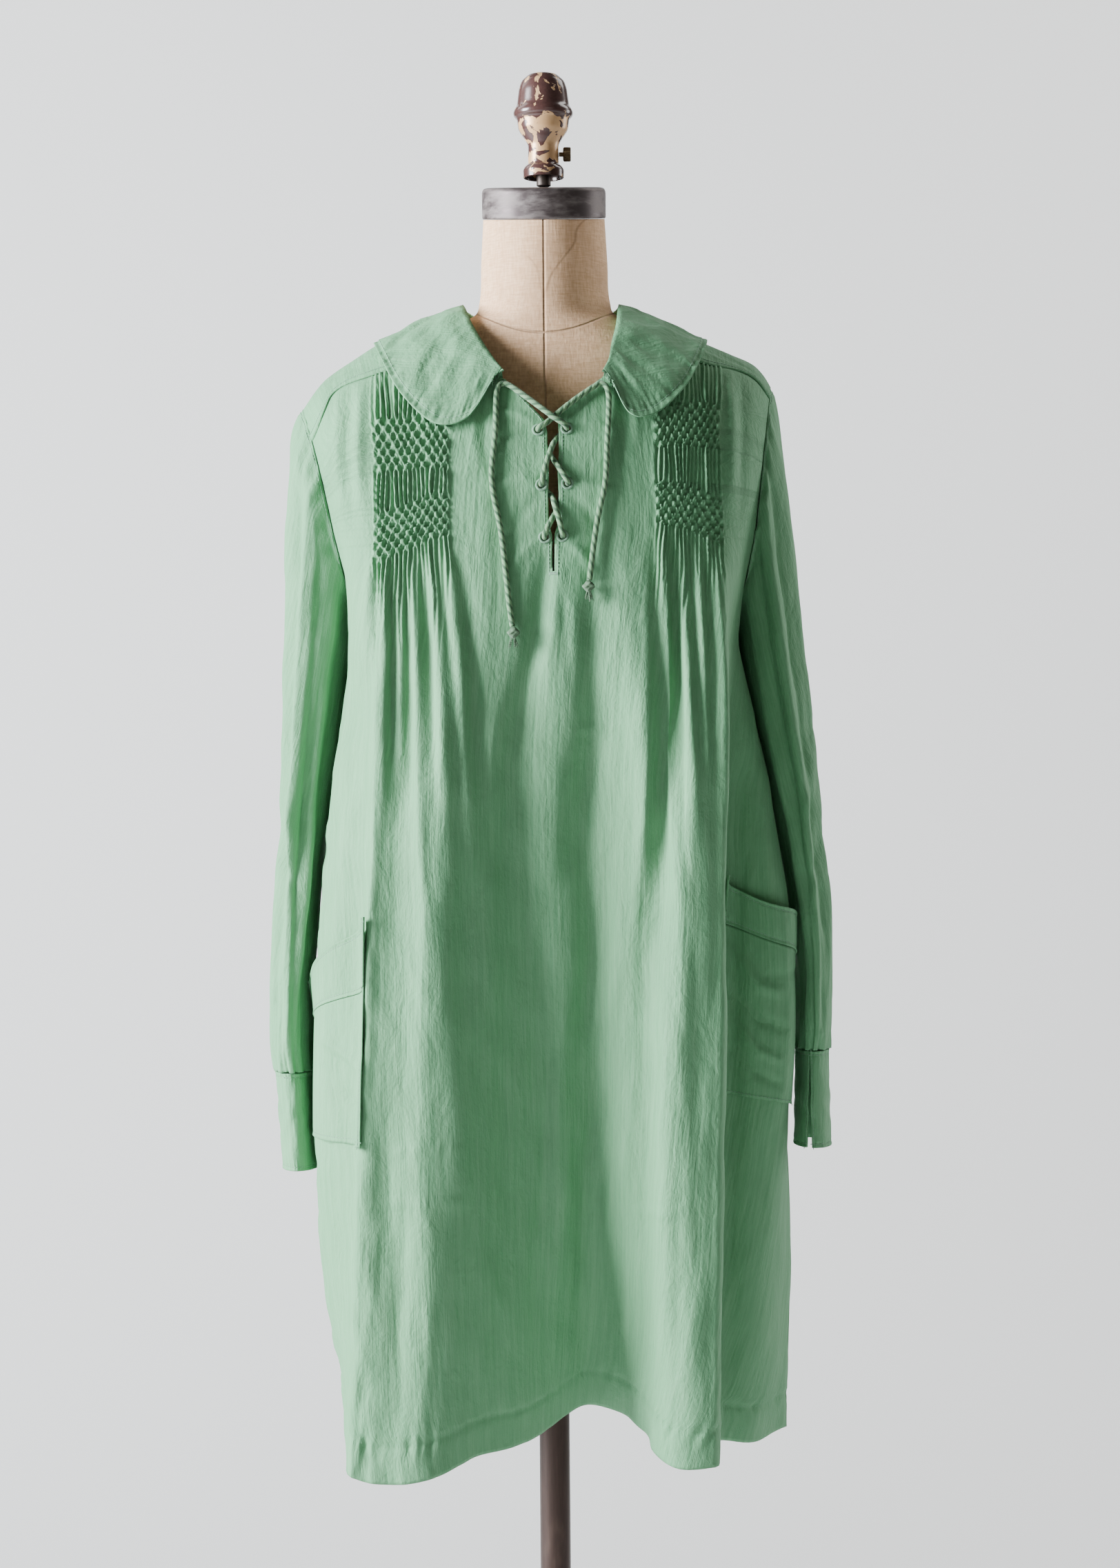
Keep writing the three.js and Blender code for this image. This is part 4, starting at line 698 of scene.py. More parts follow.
# Soft folds of the front: x and z of three points, half width and height, all in millimetres
FRONT_CREASES = [
    (-142, 1202, -148, 1150, -158, 1080, 4, 2.8), (-136, 1200, -139, 1150, -146, 1060, 4, -2.8),
    (-129, 1198, -130, 1120, -134, 980, 4.5, 3.6), (-124, 1198, -124, 1130, -126, 1030, 3.5, -2.8),
    (-119, 1196, -117, 1130, -118, 1020, 4, 2.0), (-114, 1198, -111, 1120, -110, 1000, 4, -2.6),
    (-108, 1196, -104, 1110, -100, 880, 5, 4.0), (-101, 1200, -95, 1130, -90, 1000, 4.5, -3.4),
    (-94, 1200, -87, 1120, -80, 960, 5.5, 2.2), (-87, 1202, -78, 1130, -70, 1010, 4, -1.8),
    (-79, 1202, -70, 1120, -60, 940, 5, 3.4), (-72, 1206, -61, 1130, -48, 950, 7, -3.2),
    (93.5, 1216, 96, 1110, 101, 920, 3.6, 4.4), (87, 1216, 88, 1120, 88, 960, 5.5, -3.0),
    (100, 1218, 103, 1120, 109, 940, 4, -3.8), (108, 1216, 112, 1130, 118, 980, 4.5, 3.0),
    (115, 1214, 119, 1130, 124, 1010, 4, -2.8), (121, 1212, 125, 1140, 128, 1040, 4, 1.8),
    (128, 1210, 131, 1130, 133, 1010, 4, -2.6), (137, 1208, 140, 1120, 142, 960, 4.5, 3.4),
    (2, 1205, -8, 1150, -26, 1040, 7, -5.0), (10, 1196, 6, 1150, -2, 1080, 6, 2.0),
    (-56, 1290, -50, 1200, -44, 1080, 9, 1.2), (-24, 1120, -30, 1040, -40, 880, 9, -2.6),
    (40, 1250, 36, 1140, 40, 1000, 8, -2.0), (22, 1180, 20, 1090, 16, 990, 7, 1.6),
    (62, 1230, 66, 1120, 72, 960, 8, 1.4), (-6, 1080, -10, 960, -14, 800, 8, 1.8),
    (-62, 1100, -66, 960, -70, 760, 10, -2.8), (-30, 980, -34, 800, -44, 600, 12, -3.0),
    (-112, 960, -116, 820, -112, 640, 11, -2.4), (-84, 900, -76, 760, -74, 560, 11, 2.8),
    (-146, 800, -146, 680, -150, 520, 8, 2.4), (-118, 700, -122, 600, -128, 500, 7, -2.0),
    (20, 960, 18, 800, 10, 600, 9, 2.4), (-6, 900, -6, 740, -14, 540, 8, -2.2),
    (44, 940, 40, 760, 40, 540, 8, -2.4), (60, 1040, 54, 880, 52, 690, 7, 2.2),
    (90, 900, 88, 760, 84, 560, 8, 2.4), (118, 960, 118, 800, 112, 600, 9, -2.4),
    (104, 760, 100, 640, 96, 500, 7, -2.2), (70, 700, 68, 600, 66, 520, 7, -2.0),
    (-52, 640, -56, 560, -60, 486, 8, 2.4), (-88, 620, -92, 550, -100, 470, 7, -2.0),
    (-6, 1307, -22, 1316, -44, 1318, 3, 1.4), (-6, 1300, -22, 1300, -46, 1292, 3, -1.3),
    (-4, 1258, -20, 1262, -46, 1256, 4, 1.5), (-2, 1215, -18, 1204, -38, 1176, 4, 1.6),
    (-4, 1250, -18, 1236, -34, 1216, 4, -1.3), (18, 1304, 34, 1308, 56, 1306, 3, 1.4),
    (18, 1258, 34, 1258, 58, 1250, 4, 1.5), (14, 1214, 30, 1200, 48, 1168, 4, 1.6),
    (18, 1250, 34, 1234, 48, 1212, 4, -1.3), (8, 1186, 14, 1150, 20, 1090, 4, -1.3),
    (-66, 1376, -60, 1330, -54, 1270, 4, 1.8), (-58, 1366, -52, 1320, -48, 1260, 4, -1.6),
    (-150, 1348, -152, 1300, -150, 1240, 5, 2.4), (-160, 1344, -162, 1290, -156, 1220, 5, -2.2),
    (-170, 1335, -170, 1290, -164, 1220, 4, 1.8), (-147, 1210, -150, 1170, -150, 1100, 4, -2.2),
    (74, 1378, 72, 1344, 74, 1290, 4, 1.8), (66, 1366, 62, 1330, 62, 1270, 4, -1.6),
    (152, 1356, 152, 1310, 150, 1240, 4, 2.2), (162, 1350, 162, 1300, 158, 1230, 4, -1.9),
    (-136, 1120, -146, 820, -166, 420, 5, 5.5), (-150, 1120, -161, 820, -181, 420, 11, -9.5),
    (142.5, 1195, 137, 830, 127, 420, 4.2, 4.5), (151, 1180, 149, 830, 141, 430, 8, -8.5),
    (76, 1060, 72, 800, 66, 430, 15, -7.5), (164, 1130, 176, 1010, 192, 860, 16, 8.5),
    (-100, 1020, -60, 1005, -20, 1012, 8, 0.9), (-140, 905, -110, 880, -80, 884, 8, 1.0),
    (70, 830, 100, 812, 132, 822, 8, 1.0), (-150, 600, -120, 585, -84, 590, 8, 0.9)]

HEM_DEPTH = 29
front_columns = spaced([(0, 0), (2.05, 22), (3.95, 82), (9.7, 58), (12.95, 82), (16, 26)])
front_steps = spaced([(0, 0), (1.0, 58), (1.055, 18), (1.95, 74), (2.0, 14)])
grid = panel("front", front_columns, front_steps)
normals = outward(grid)
x, z = grid[..., 0], grid[..., 2]
hem_gap = z - grid[-1:, :, 2]
across = reach_across(grid)
pucker = 0.5 * np.sin(across / 1.7 + 1.5 * np.sin(across / 9)) + 0.5 * np.sin(across / 2.9 + 0.8)
folds = creased(x, z, FRONT_CREASES)
folds += crumpled(across, z * 0.45, 3, 38, 0.9) * unit((1190 - z) / 120)
folds += crumpled(across, z * 0.8, 31, 22, 1.3) * unit((-136 - x) / 12) * unit((1120 - z) / 100)
folds += crumpled(across, z * 0.35, 17, 17, 0.8) * bell(x - 10, 60) * bell(z - 740, 120)
folds += 1.2 * pucker * bell(hem_gap - HEM_DEPTH, 9) - bell(hem_gap - HEM_DEPTH, 2.2)
folds += 0.9 * np.sin(across / 13 + 2.2 * np.sin(across / 41)) * unit(1 - hem_gap / 150)
relief = sum(smocked(x, z, **block) for block in SMOCKED)
draped = grid + normals * folds[..., None]
front = shell("front_panel", draped + normals * (0.2 + relief)[..., None],
              draped - normals * CLOTH, front_cotton)

NECK_CUT = [(-38, 1420), (-33, 1346), (-0.5, 1310), (1.6, 1300), (1.6, 1285), (2.6, 1266),
            (1.8, 1250), (2, 1226), (4.6, 1217), (4.8, 1187), (6.4, 1187), (6.8, 1217),
            (9.8, 1226), (10.4, 1250), (9.6, 1266), (10.8, 1285), (10.8, 1300), (9.5, 1317),
            (46, 1346), (50, 1420)]
EYELETS = [(-5.6, 1302), (-3.4, 1257), (-1.2, 1214.5), (17.2, 1303), (17.4, 1258), (13, 1215.5)]
EYELET_RADIUS = 3.5
CUT_FROM, CUT_TO = -190, -60


def prism(outline):
    """Closed bar along Y with the given outline in x and z."""
    count = len(outline)
    points = [(px, y, pz) for y in (CUT_FROM, CUT_TO) for px, pz in outline]
    faces = [tuple(range(count)), tuple(reversed(range(count, 2 * count)))]
    faces += [(i, i + count, (i + 1) % count + count, (i + 1) % count) for i in range(count)]
    return points, faces


def crisp(piece, crease=None):
    """Joins doubled points, turns the faces outward and keeps edges over the crease angle sharp."""
    work = bmesh.new()
    work.from_mesh(piece.data)
    bmesh.ops.remove_doubles(work, verts=work.verts, dist=1e-7)
    bmesh.ops.recalc_face_normals(work, faces=work.faces)
    work.to_mesh(piece.data)
    work.free()
    if crease:
        piece.data.set_sharp_from_angle(angle=crease)


def settled(piece):
    """Mesh of a piece with its modifiers worked in."""
    bpy.context.view_layer.update()
    ready = piece.evaluated_get(bpy.context.evaluated_depsgraph_get())
    return bpy.data.meshes.new_from_object(ready)


cut_points, cut_faces = [], []
circle = [(math.cos(a), math.sin(a)) for a in np.linspace(0, 2 * np.pi, 20, endpoint=False)]
for outline in [NECK_CUT, *([(ex + EYELET_RADIUS * c, ez + EYELET_RADIUS * s) for c, s in circle]
                            for ex, ez in EYELETS)]:
    points, faces = prism(outline)
    cut_faces += [tuple(len(cut_points) + i for i in face) for face in faces]
    cut_points += points
shears = finished("shears", cut_points, cut_faces, cotton, smooth=False)
crisp(shears)
cut = front.modifiers.new("neck and eyelets", "BOOLEAN")
cut.operation = "DIFFERENCE"
cut.solver = "EXACT"
cut.object = shears
plain = settled(front)
front.modifiers.clear()
front.data = plain
bpy.data.objects.remove(shears)
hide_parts("front")
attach(front, BODY)


def front_at(x_wanted, z_wanted):
    """Point and outward direction of the hung front at a place across it and a height."""
    gap = np.hypot(draped[..., 0] - x_wanted, draped[..., 2] - z_wanted)
    at = np.unravel_index(np.argmin(gap), gap.shape)
    around = (slice(max(at[0] - 1, 0), at[0] + 2), slice(max(at[1] - 1, 0), at[1] + 2))
    weight = 1 / (gap[around] + 0.15) ** 2
    weight /= weight.sum()
    offset = (draped[around] * weight[..., None]).sum(axis=(0, 1))
    direction = (normals[around] * weight[..., None]).sum(axis=(0, 1))
    return offset, direction / np.linalg.norm(direction)


# Sewing thread: every seam, hem and edge is stitched by machine in matching thread, about eight
# stitches to 25 mm, each a short sunken capsule that the stitch tree sets along its line.
thread = finish("matching thread", (112, 152, 124), 0.62)
thread_tone = noise(thread, place_of(thread), 900.0, 2.0)
thread_lay = noise(thread, place_of(thread), 4200.0, 2.0)
dress(thread, Base_Color=blended(thread, thread_tone, (96, 138, 110), (138, 176, 148)),
      Normal=raised(thread, thread_lay, 0.0001, 0.5))


def stitch_tree():
    """Stitches along every line of a curve object: each has a pitch, a length and a thickness."""
    tree = bpy.data.node_groups.new("stitches", "GeometryNodeTree")
    sockets = {}
    for label, kind in (("Geometry", "Geometry"), ("Pitch", "Float"), ("Length", "Float"),
                        ("Thickness", "Float"), ("Thread", "Material")):
        sockets[label] = tree.interface.new_socket(
            label, in_out="INPUT", socket_type=f"NodeSocket{kind}").identifier
    tree.interface.new_socket("Geometry", in_out="OUTPUT", socket_type="NodeSocketGeometry")
    given, result, spread, capsule, align, place, loose, dye = (
        tree.nodes.new(kind) for kind in (
            "NodeGroupInput", "NodeGroupOutput", "GeometryNodeCurveToPoints",
            "GeometryNodeMeshCylinder", "FunctionNodeAlignRotationToVector",
            "GeometryNodeInstanceOnPoints", "GeometryNodeRealizeInstances",
            "GeometryNodeSetMaterial"))
    spread.mode = "LENGTH"
    capsule.inputs["Vertices"].default_value = 6
    align.axis = "Z"
    for source, outlet, target, inlet in (
            (given, "Geometry", spread, "Curve"), (given, "Pitch", spread, "Length"),
            (given, "Thickness", capsule, "Radius"), (given, "Length", capsule, "Depth"),
            (spread, "Tangent", align, "Vector"), (spread, "Points", place, "Points"),
            (capsule, "Mesh", place, "Instance"), (align, "Rotation", place, "Rotation"),
            (place, "Instances", loose, "Geometry"), (loose, "Geometry", dye, "Geometry"),
            (given, "Thread", dye, "Material"), (dye, "Geometry", result, "Geometry")):
        tree.links.new(source.outputs[outlet], target.inputs[inlet])
    return tree, sockets


STITCHES, STITCH_SOCKETS = stitch_tree()


def sewn(name, lines, pitch=3.2, length=2.3, thickness=0.34):
    """One mesh of stitches along lines of points in millimetres, with the thread's finish."""
    data = bpy.data.curves.new(name, "CURVE")
    data.dimensions = "3D"
    for line in lines:
        spline = data.splines.new("POLY")
        spline.points.add(len(line) - 1)
        spline.points.foreach_set("co", np.c_[np.asarray(line) * MM, np.ones(len(line))].ravel())
    seam = bpy.data.objects.new(name, data)
    bpy.context.collection.objects.link(seam)
    rows = seam.modifiers.new("stitches", "NODES")
    rows.node_group = STITCHES
    for label, value in (("Pitch", pitch * MM), ("Length", length * MM),
                         ("Thickness", thickness * MM), ("Thread", thread)):
        rows[STITCH_SOCKETS[label]] = value
    mesh = settled(seam)
    bpy.data.objects.remove(seam)
    piece = bpy.data.objects.new(name, mesh)
    bpy.context.collection.objects.link(piece)
    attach(piece, BODY)
    return piece


def grid_line(points, out, rows=slice(None), columns=slice(None), lift=0.0):
    """Line along a row or a column of a grid, lifted off its face."""
    return (points + out * lift)[rows, columns]


def hem_line(points, out, gap):
    """Stitch line along the top of a hem, sunk a little in the cloth."""
    columns = np.arange(2, gap.shape[1] - 2)
    rows = np.argmin(np.abs(gap - HEM_DEPTH), axis=0)[columns]
    return grid_line(points, out, rows, columns, -0.15)


# Stitch lines of the front: the hem, the edge of the V and slit, and the bar tack
left_edge = [(-30, 1340), (-3.4, 1311), (-1.4, 1300), (-1.4, 1286), (-0.6, 1266), (-1.2, 1250),
             (-1, 1226), (1.8, 1216), (2.2, 1184)]
right_edge = [(9.2, 1184), (9.8, 1216), (12.6, 1226), (13.2, 1250), (12.4, 1266), (13.6, 1285),
              (13.6, 1300), (12.6, 1315), (43, 1341)]


def on_front(outline, spacing=2.0, lift=0.35):
    flat, _ = even([(px, 0, pz) for px, pz in outline], spacing)
    line = []
    for px, _, pz in flat:
        point, direction = front_at(px, pz)
        line.append(np.array([px, point[1], pz]) + direction * lift)
    return line


tack = [[(2.8, 1186 - k), (8.6, 1186 - k)] for k in (0, 0.8, 1.6)]
sewn("front_stitches", [hem_line(draped, normals, hem_gap), on_front(left_edge),
                        on_front(right_edge)])
sewn("bar_tack", [on_front(t, 1.0, 0.5) for t in tack], pitch=1.2, length=1.3, thickness=0.4)

# Worked eyelets: each hole has a rim of close buttonhole stitches in matching thread
RIM_RADIUS, RIM_WIDTH, RIM_HEIGHT, RIM_STITCHES = 4.1, 1.1, 0.75, 24
AROUND, ACROSS = 72, 8
rim_points, rim_faces = [], []
for ex, ez in EYELETS:
    centre, direction = front_at(ex, ez)
    centre = np.array([ex, centre[1], ez]) + direction * 0.5
    side = np.cross(direction, (0, 0, 1))
    side /= np.linalg.norm(side)
    up = np.cross(side, direction)
    start = len(rim_points)
    for i in range(AROUND):
        a = 2 * math.pi * i / AROUND
        spoke = math.cos(a) * side + math.sin(a) * up
        bead = 1.0 + 0.22 * math.cos(RIM_STITCHES * a)
        ring, after = start + i * ACROSS, start + (i + 1) % AROUND * ACROSS
        for j in range(ACROSS):
            b, k = 2 * math.pi * j / ACROSS, (j + 1) % ACROSS
            rim_points.append(centre + spoke * (RIM_RADIUS + RIM_WIDTH * bead * math.cos(b))
                              + direction * RIM_HEIGHT * bead * math.sin(b))
            rim_faces.append((ring + j, after + j, after + k, ring + k))
rims = finished("eyelet_rims", rim_points, rim_faces, thread)
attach(rims, BODY)

# Back: one plain panel of the same cotton, in soft even folds to the hem. Its top is gathered a
# little where it is eased into the yokes, and its hem is as deep as the front's.
BACK_CREASES = [
    (-96, 1360, -92, 1280, -86, 1160, 7, 2.4), (-72, 1378, -68, 1290, -62, 1180, 7, -2.1),
    (-46, 1396, -44, 1300, -40, 1180, 7, 2.1), (-16, 1400, -18, 1310, -20, 1200, 8, -2.0),
    (14, 1400, 14, 1310, 12, 1190, 7, 2.1), (44, 1398, 42, 1300, 38, 1180, 7, -2.2),
    (74, 1378, 70, 1290, 64, 1180, 7, 2.2), (104, 1360, 100, 1280, 92, 1170, 7, -2.1),
    (-120, 1120, -124, 960, -132, 760, 10, -3.0), (-84, 1100, -88, 900, -94, 640, 11, 2.7),
    (-42, 1080, -44, 860, -46, 600, 10, -2.7), (2, 1080, 2, 840, 4, 560, 11, 2.7),
    (46, 1080, 48, 860, 52, 600, 10, -2.7), (90, 1100, 96, 900, 102, 640, 11, 2.7),
    (126, 1100, 130, 940, 138, 740, 10, -2.7), (-110, 700, -114, 600, -118, 500, 8, 2.1),
    (-20, 700, -22, 600, -24, 490, 8, -2.0), (66, 720, 70, 600, 74, 490, 8, 2.1),
    (164, 1130, 176, 1010, 192, 860, 16, 8.5),
    (-100, 1030, -40, 1016, 20, 1024, 7, 1.0), (0, 1008, 60, 1000, 110, 1010, 7, 1.0)]
back_columns = spaced([(0, 0), (11, 154)])
back_steps = spaced([(0, 0), (1.0, 30), (1.95, 78), (2.0, 12)])
back_grid = panel("back", back_columns, back_steps)
back_out = outward(back_grid)
back_gap = back_grid[..., 2] - back_grid[-1:, :, 2]
top_gap = back_grid[:1, :, 2] - back_grid[..., 2]
across = reach_across(back_grid)
back_folds = creased(back_grid[..., 0], back_grid[..., 2], BACK_CREASES)
back_folds += 0.45 * np.sin(across / 1.9 + 1.6 * np.sin(across / 8)) * bell(back_gap - HEM_DEPTH, 9)
back_folds -= 0.7 * bell(back_gap - HEM_DEPTH, 2.2)
back_folds += 0.9 * np.sin(across / 13 + 2 * np.sin(across / 37)) * unit(1 - back_gap / 150)
back_folds += 0.7 * np.sin(across / 2.6 + np.sin(across / 17)) * unit(1 - top_gap / 46)
back_cloth = back_grid + back_out * back_folds[..., None]
back = shell("back_panel", back_cloth, back_cloth - back_out * CLOTH, cotton)
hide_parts("back")
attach(back, BODY)
sewn("back_stitches", [hem_line(back_cloth, back_out, back_gap)])

# Yokes: a doubled strip of cotton over each shoulder. The gathered front and back are set into it
# and it is stitched down along both seams.
YOKES = {"left": (4.5, -58.5, -54), "right": (8.5, 56, 55)}
YOKE_COLUMNS, YOKE_ROWS = 70, 16


def chest_line(face):
    """Rising x of a panel's line round the chest, and its y."""
    columns = np.linspace(0, len(PANELS[face][0]) + 1, 400)
    line = section(face, columns, np.full(400, CHEST_Z))
    return line[np.argsort(line[:, 0]), :2].T


for side, (seam_column, ridge_x, back_x) in YOKES.items():
    ends = (0, seam_column) if side == "left" else (seam_column, 16)
    seam = section("front", np.linspace(*ends, YOKE_COLUMNS), np.full(YOKE_COLUMNS, CHEST_Z))
    edge_x = ARMHOLE_CHEST_X[side]
    neck_x = seam[-1 if side == "left" else 0, 0]
    rows = []
    for face, share in ([("front", s) for s in np.linspace(1, 0, YOKE_ROWS)]
                        + [("back", s) for s in np.linspace(0, 1, YOKE_ROWS)[1:]]):
        other = neck_x if face == "front" else back_x
        neck = ridge_x + (other - ridge_x) * share
        chest_x = edge_x + (seam[:, 0] - edge_x) * (neck - edge_x) / (neck_x - edge_x)
        chest_y = np.interp(chest_x, *chest_line(face))
        rise = 1 - (1 - top_rise(face, chest_x, chest_y)) * share
        rows.append(arch(face, chest_x, chest_y, rise))
    yoke_grid = np.array(rows)
    yoke_grid[-1] += (yoke_grid[-2] - yoke_grid[-1]) * 0.12
    yoke_out = outward(yoke_grid, flat_axis_z=1000)
    edge = np.arange(len(rows))
    soft = crumpled(chest_x, edge[:, None] * 6.0, 11, 24, 0.45)
    puff = 0.9 + 0.5 * bell(edge - 1.2, 1.2) + 0.4 * bell(edge - 29, 1.4)
    yoke_outer = yoke_grid + yoke_out * (puff[:, None] + soft)[..., None]
    yoke = shell(f"shoulder_yoke_{side}", yoke_outer, yoke_outer - yoke_out * 1.4, cotton)
    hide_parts(f"yoke_{side}")
    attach(yoke, BODY)
    sewn(f"yoke_stitches_{side}", [grid_line(yoke_outer, yoke_out, rows=row, lift=0.15)
                                   for row in (2, -3)])

# Collar: one flat round collar, two layers turned and pressed, that lies on the shoulders. Its edge
# is topstitched 3 mm in, and its two front ends meet the V.
COLLAR = np.array([
    (-33, -92.5, -37, -92.5, 7.6), (-41, -86, -60, -105, 6.6), (-50, -75, -93, -103, 4.6),
    (-59, -58, -119, -86, 4.2), (-65, -32, -136, -50, 3.6), (-68, -2, -141, -2, 3.6),
    (-65, 28, -129, 42, 3.6), (-48, 54, -88, 82, 3.6), (-4, 67, -5, 103, 3.6),
    (42, 54, 80, 82, 3.6), (58, 28, 119, 42, 3.6), (61, -2, 133, -2, 3.6),
    (60, -32, 130, -48, 3.6), (58, -58, 115, -82, 4.2), (54, -75, 91, -100, 4.6),
    (51, -86, 66, -104, 6.6), (46, -92.5, 50, -92.5, 7.6)], float)


def shoulder_height(x, y):
    """Height of the dress over a place in plan."""
    height = np.zeros_like(x)
    for face, here in (("front", y < 0), ("back", y >= 0)):
        power = ARCH_POWER[face]
        depth = np.abs(np.interp(x / (1 + shoulder_spread(x) * 0.8), *chest_line(face)))
        ridge = along(RIDGE[:, 0], RIDGE[:, 1], x) - CHEST_Z
        share = np.minimum(0.999, np.abs(y) / depth)
        height = np.where(here, CHEST_Z + ridge * (1 - share ** power) ** (1 / power), height)
    return height


COLLAR_STITCH = 3.2
round_collar = np.linspace(0, len(COLLAR) - 1, 720)
neck_edge = through(COLLAR[:, [0, 1, 4]], round_collar)
outer_edge = through(COLLAR[:, [2, 3, 4]], round_collar)
share = spaced([(0, 0), (0.86, 13), (0.96, 8), (1.0, 4)])[:, None, None]
plan = neck_edge + (outer_edge - neck_edge) * share
lift = plan[..., 2].copy()
collar_height = shoulder_height(plan[..., 0], plan[..., 1])
collar_grid = np.stack([plan[..., 0], plan[..., 1], collar_height], axis=-1)
collar_out = outward(collar_grid, flat_axis_z=1000)
width = np.linalg.norm(outer_edge[:, :2] - neck_edge[:, :2], axis=1)
from_edge = (1 - share[..., 0]) * width
ends = np.minimum(round_collar, len(COLLAR) - 1 - round_collar)[None, :] * 18
edge_gap = np.minimum(from_edge, ends)
body = 0.6 * bell(edge_gap, 1.6) - 0.45 * bell(edge_gap - COLLAR_STITCH, 0.9)
arc = reach_across(outer_edge[None, :, :2])[0]
pucker = 0.5 * np.sin(arc / 0.9 + 1.6 * np.sin(arc / 6)) \
    + 0.5 * np.sin(arc / 1.7 + 2 * np.sin(arc / 11))
body += 0.4 * pucker * bell(from_edge - 3.6, 3.4) * unit(ends / 8)
calm = np.clip((width - from_edge) / 14, 0.1, 1) * np.clip(ends / 14, 0.2, 1)
body += crumpled(arc + 0 * edge_gap, from_edge, 5, 30, 1.1) * np.clip(from_edge / 6, 0.4, 1) * calm
body += crumpled(arc * 1.3 + 0 * edge_gap, from_edge * 1.3, 8, 18, 0.35) * calm
collar_top = collar_grid + collar_out * (lift + body + 0.1)[..., None]
collar = shell("round_collar", collar_top, collar_top - collar_out * 1.7, cotton)
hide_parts("collar")
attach(collar, BODY)
inner_row = np.argmin(np.abs((1 - share[:, 0, 0]) * width.mean() - COLLAR_STITCH))
sewn("collar_stitches", [grid_line(collar_top, collar_out, rows=inner_row)])

# Sleeves: a long straight tube of cotton each, eased into the armhole and gathered to the cuff.
# They hang flat at the sides, with soft drag folds at the elbow.
SLEEVES = {
    "left": np.array([
        (-212, 1314, -160, 1136, 62), (-216, 1280, -163, 1114, 63), (-217.5, 1220, -169, 1076, 64),
        (-219.5, 1140, -178, 1028, 63), (-222, 1050, -185.5, 982, 62), (-226, 970, -191, 942, 60),
        (-230, 905, -195, 898, 58), (-234.5, 850, -198, 846, 55), (-235, 802, -199, 799, 51),
        (-232, 778.5, -199, 778.5, 45)], float),
    "right": np.array([
        (194, 1326, 160, 1136, 62), (199, 1286, 163, 1114, 63), (206, 1220, 169, 1076, 64),
        (213, 1148, 178, 1034, 63), (220.5, 1070, 187, 990, 62), (228, 985, 194.5, 948, 60),
        (234, 920, 200, 906, 58), (236, 863, 204.5, 858, 55), (235, 812, 205.5, 810, 51),
        (233, 793.5, 205.5, 793.5, 45)], float)}
# Folds of a sleeve: place round it in millimetres from its outer edge, front first, and height
SLEEVE_CREASES = {
    "left": [(12, 1300, 14, 1060, 12, 790, 4, -3.0), (24, 1300, 26, 1060, 24, 790, 4, 3.0),
             (37, 1300, 36, 1060, 40, 790, 4.5, -3.8), (50, 1290, 50, 1060, 54, 790, 4.5, 3.6),
             (68, 1280, 66, 1040, 68, 790, 6, -3.6), (84, 1260, 82, 1040, 80, 790, 5, 3.8),
             (98, 1250, 96, 1040, 94, 790, 6, -3.0),
             (22, 1290, 18, 1200, 20, 1060, 6, 2.9), (42, 1300, 38, 1220, 34, 1120, 8, -2.7),
             (30, 1060, 44, 1000, 64, 960, 7, 2.7), (20, 1000, 40, 950, 70, 930, 7, -2.5),
             (66, 1180, 60, 1080, 52, 960, 9, 2.5), (84, 1140, 76, 1040, 70, 930, 8, -2.7),
             (96, 1020, 84, 940, 76, 850, 7, 2.4), (26, 960, 32, 880, 36, 800, 6, 2.5),
             (50, 930, 52, 860, 50, 796, 6, -2.4), (64, 920, 66, 860, 64, 800, 6, 2.2),
             (88, 880, 84, 840, 80, 800, 5, -2.0), (110, 1100, 104, 1000, 96, 880, 8, 2.0),
             (160, 1240, 164, 1100, 168, 940, 9, -2.7), (190, 1200, 192, 1080, 190, 900, 9, 2.7),
             (150, 1000, 170, 950, 200, 920, 7, 2.5), (216, 1150, 214, 1020, 208, 860, 8, -2.4)],
    "right": [(14, 1300, 16, 1080, 14, 800, 4, -2.6), (28, 1310, 28, 1080, 28, 800, 4.5, 3.2),
              (42, 1300, 44, 1080, 42, 800, 5, -3.4), (58, 1290, 60, 1080, 56, 800, 5, 3.4),
              (76, 1280, 74, 1060, 72, 800, 6, -3.4), (92, 1250, 90, 1060, 86, 800, 6, 3.0),
              (24, 1300, 20, 1220, 22, 1100, 6, 2.5), (44, 1290, 42, 1200, 40, 1090, 8, -2.7),
              (62, 1200, 62, 1080, 56, 980, 8, 2.7), (84, 1160, 80, 1060, 72, 960, 8, -2.5),
              (24, 1060, 44, 1010, 72, 985, 7, 2.5), (20, 990, 42, 950, 76, 930, 7, -2.4),
              (30, 940, 36, 880, 40, 812, 6, 2.5), (54, 930, 54, 870, 50, 810, 6, -2.4),
              (74, 940, 70, 880, 66, 815, 6, 2.2), (98, 1020, 92, 920, 84, 830, 7, -2.2),
              (160, 1240, 164, 1100, 168, 940, 9, -2.7), (190, 1200, 192, 1080, 190, 900, 9, 2.7),
              (150, 1010, 172, 960, 204, 930, 7, 2.5), (216, 1150, 214, 1020, 208, 860, 8, -2.4)]}
sleeve_angles = np.linspace(0, 2 * np.pi, 128, endpoint=False)
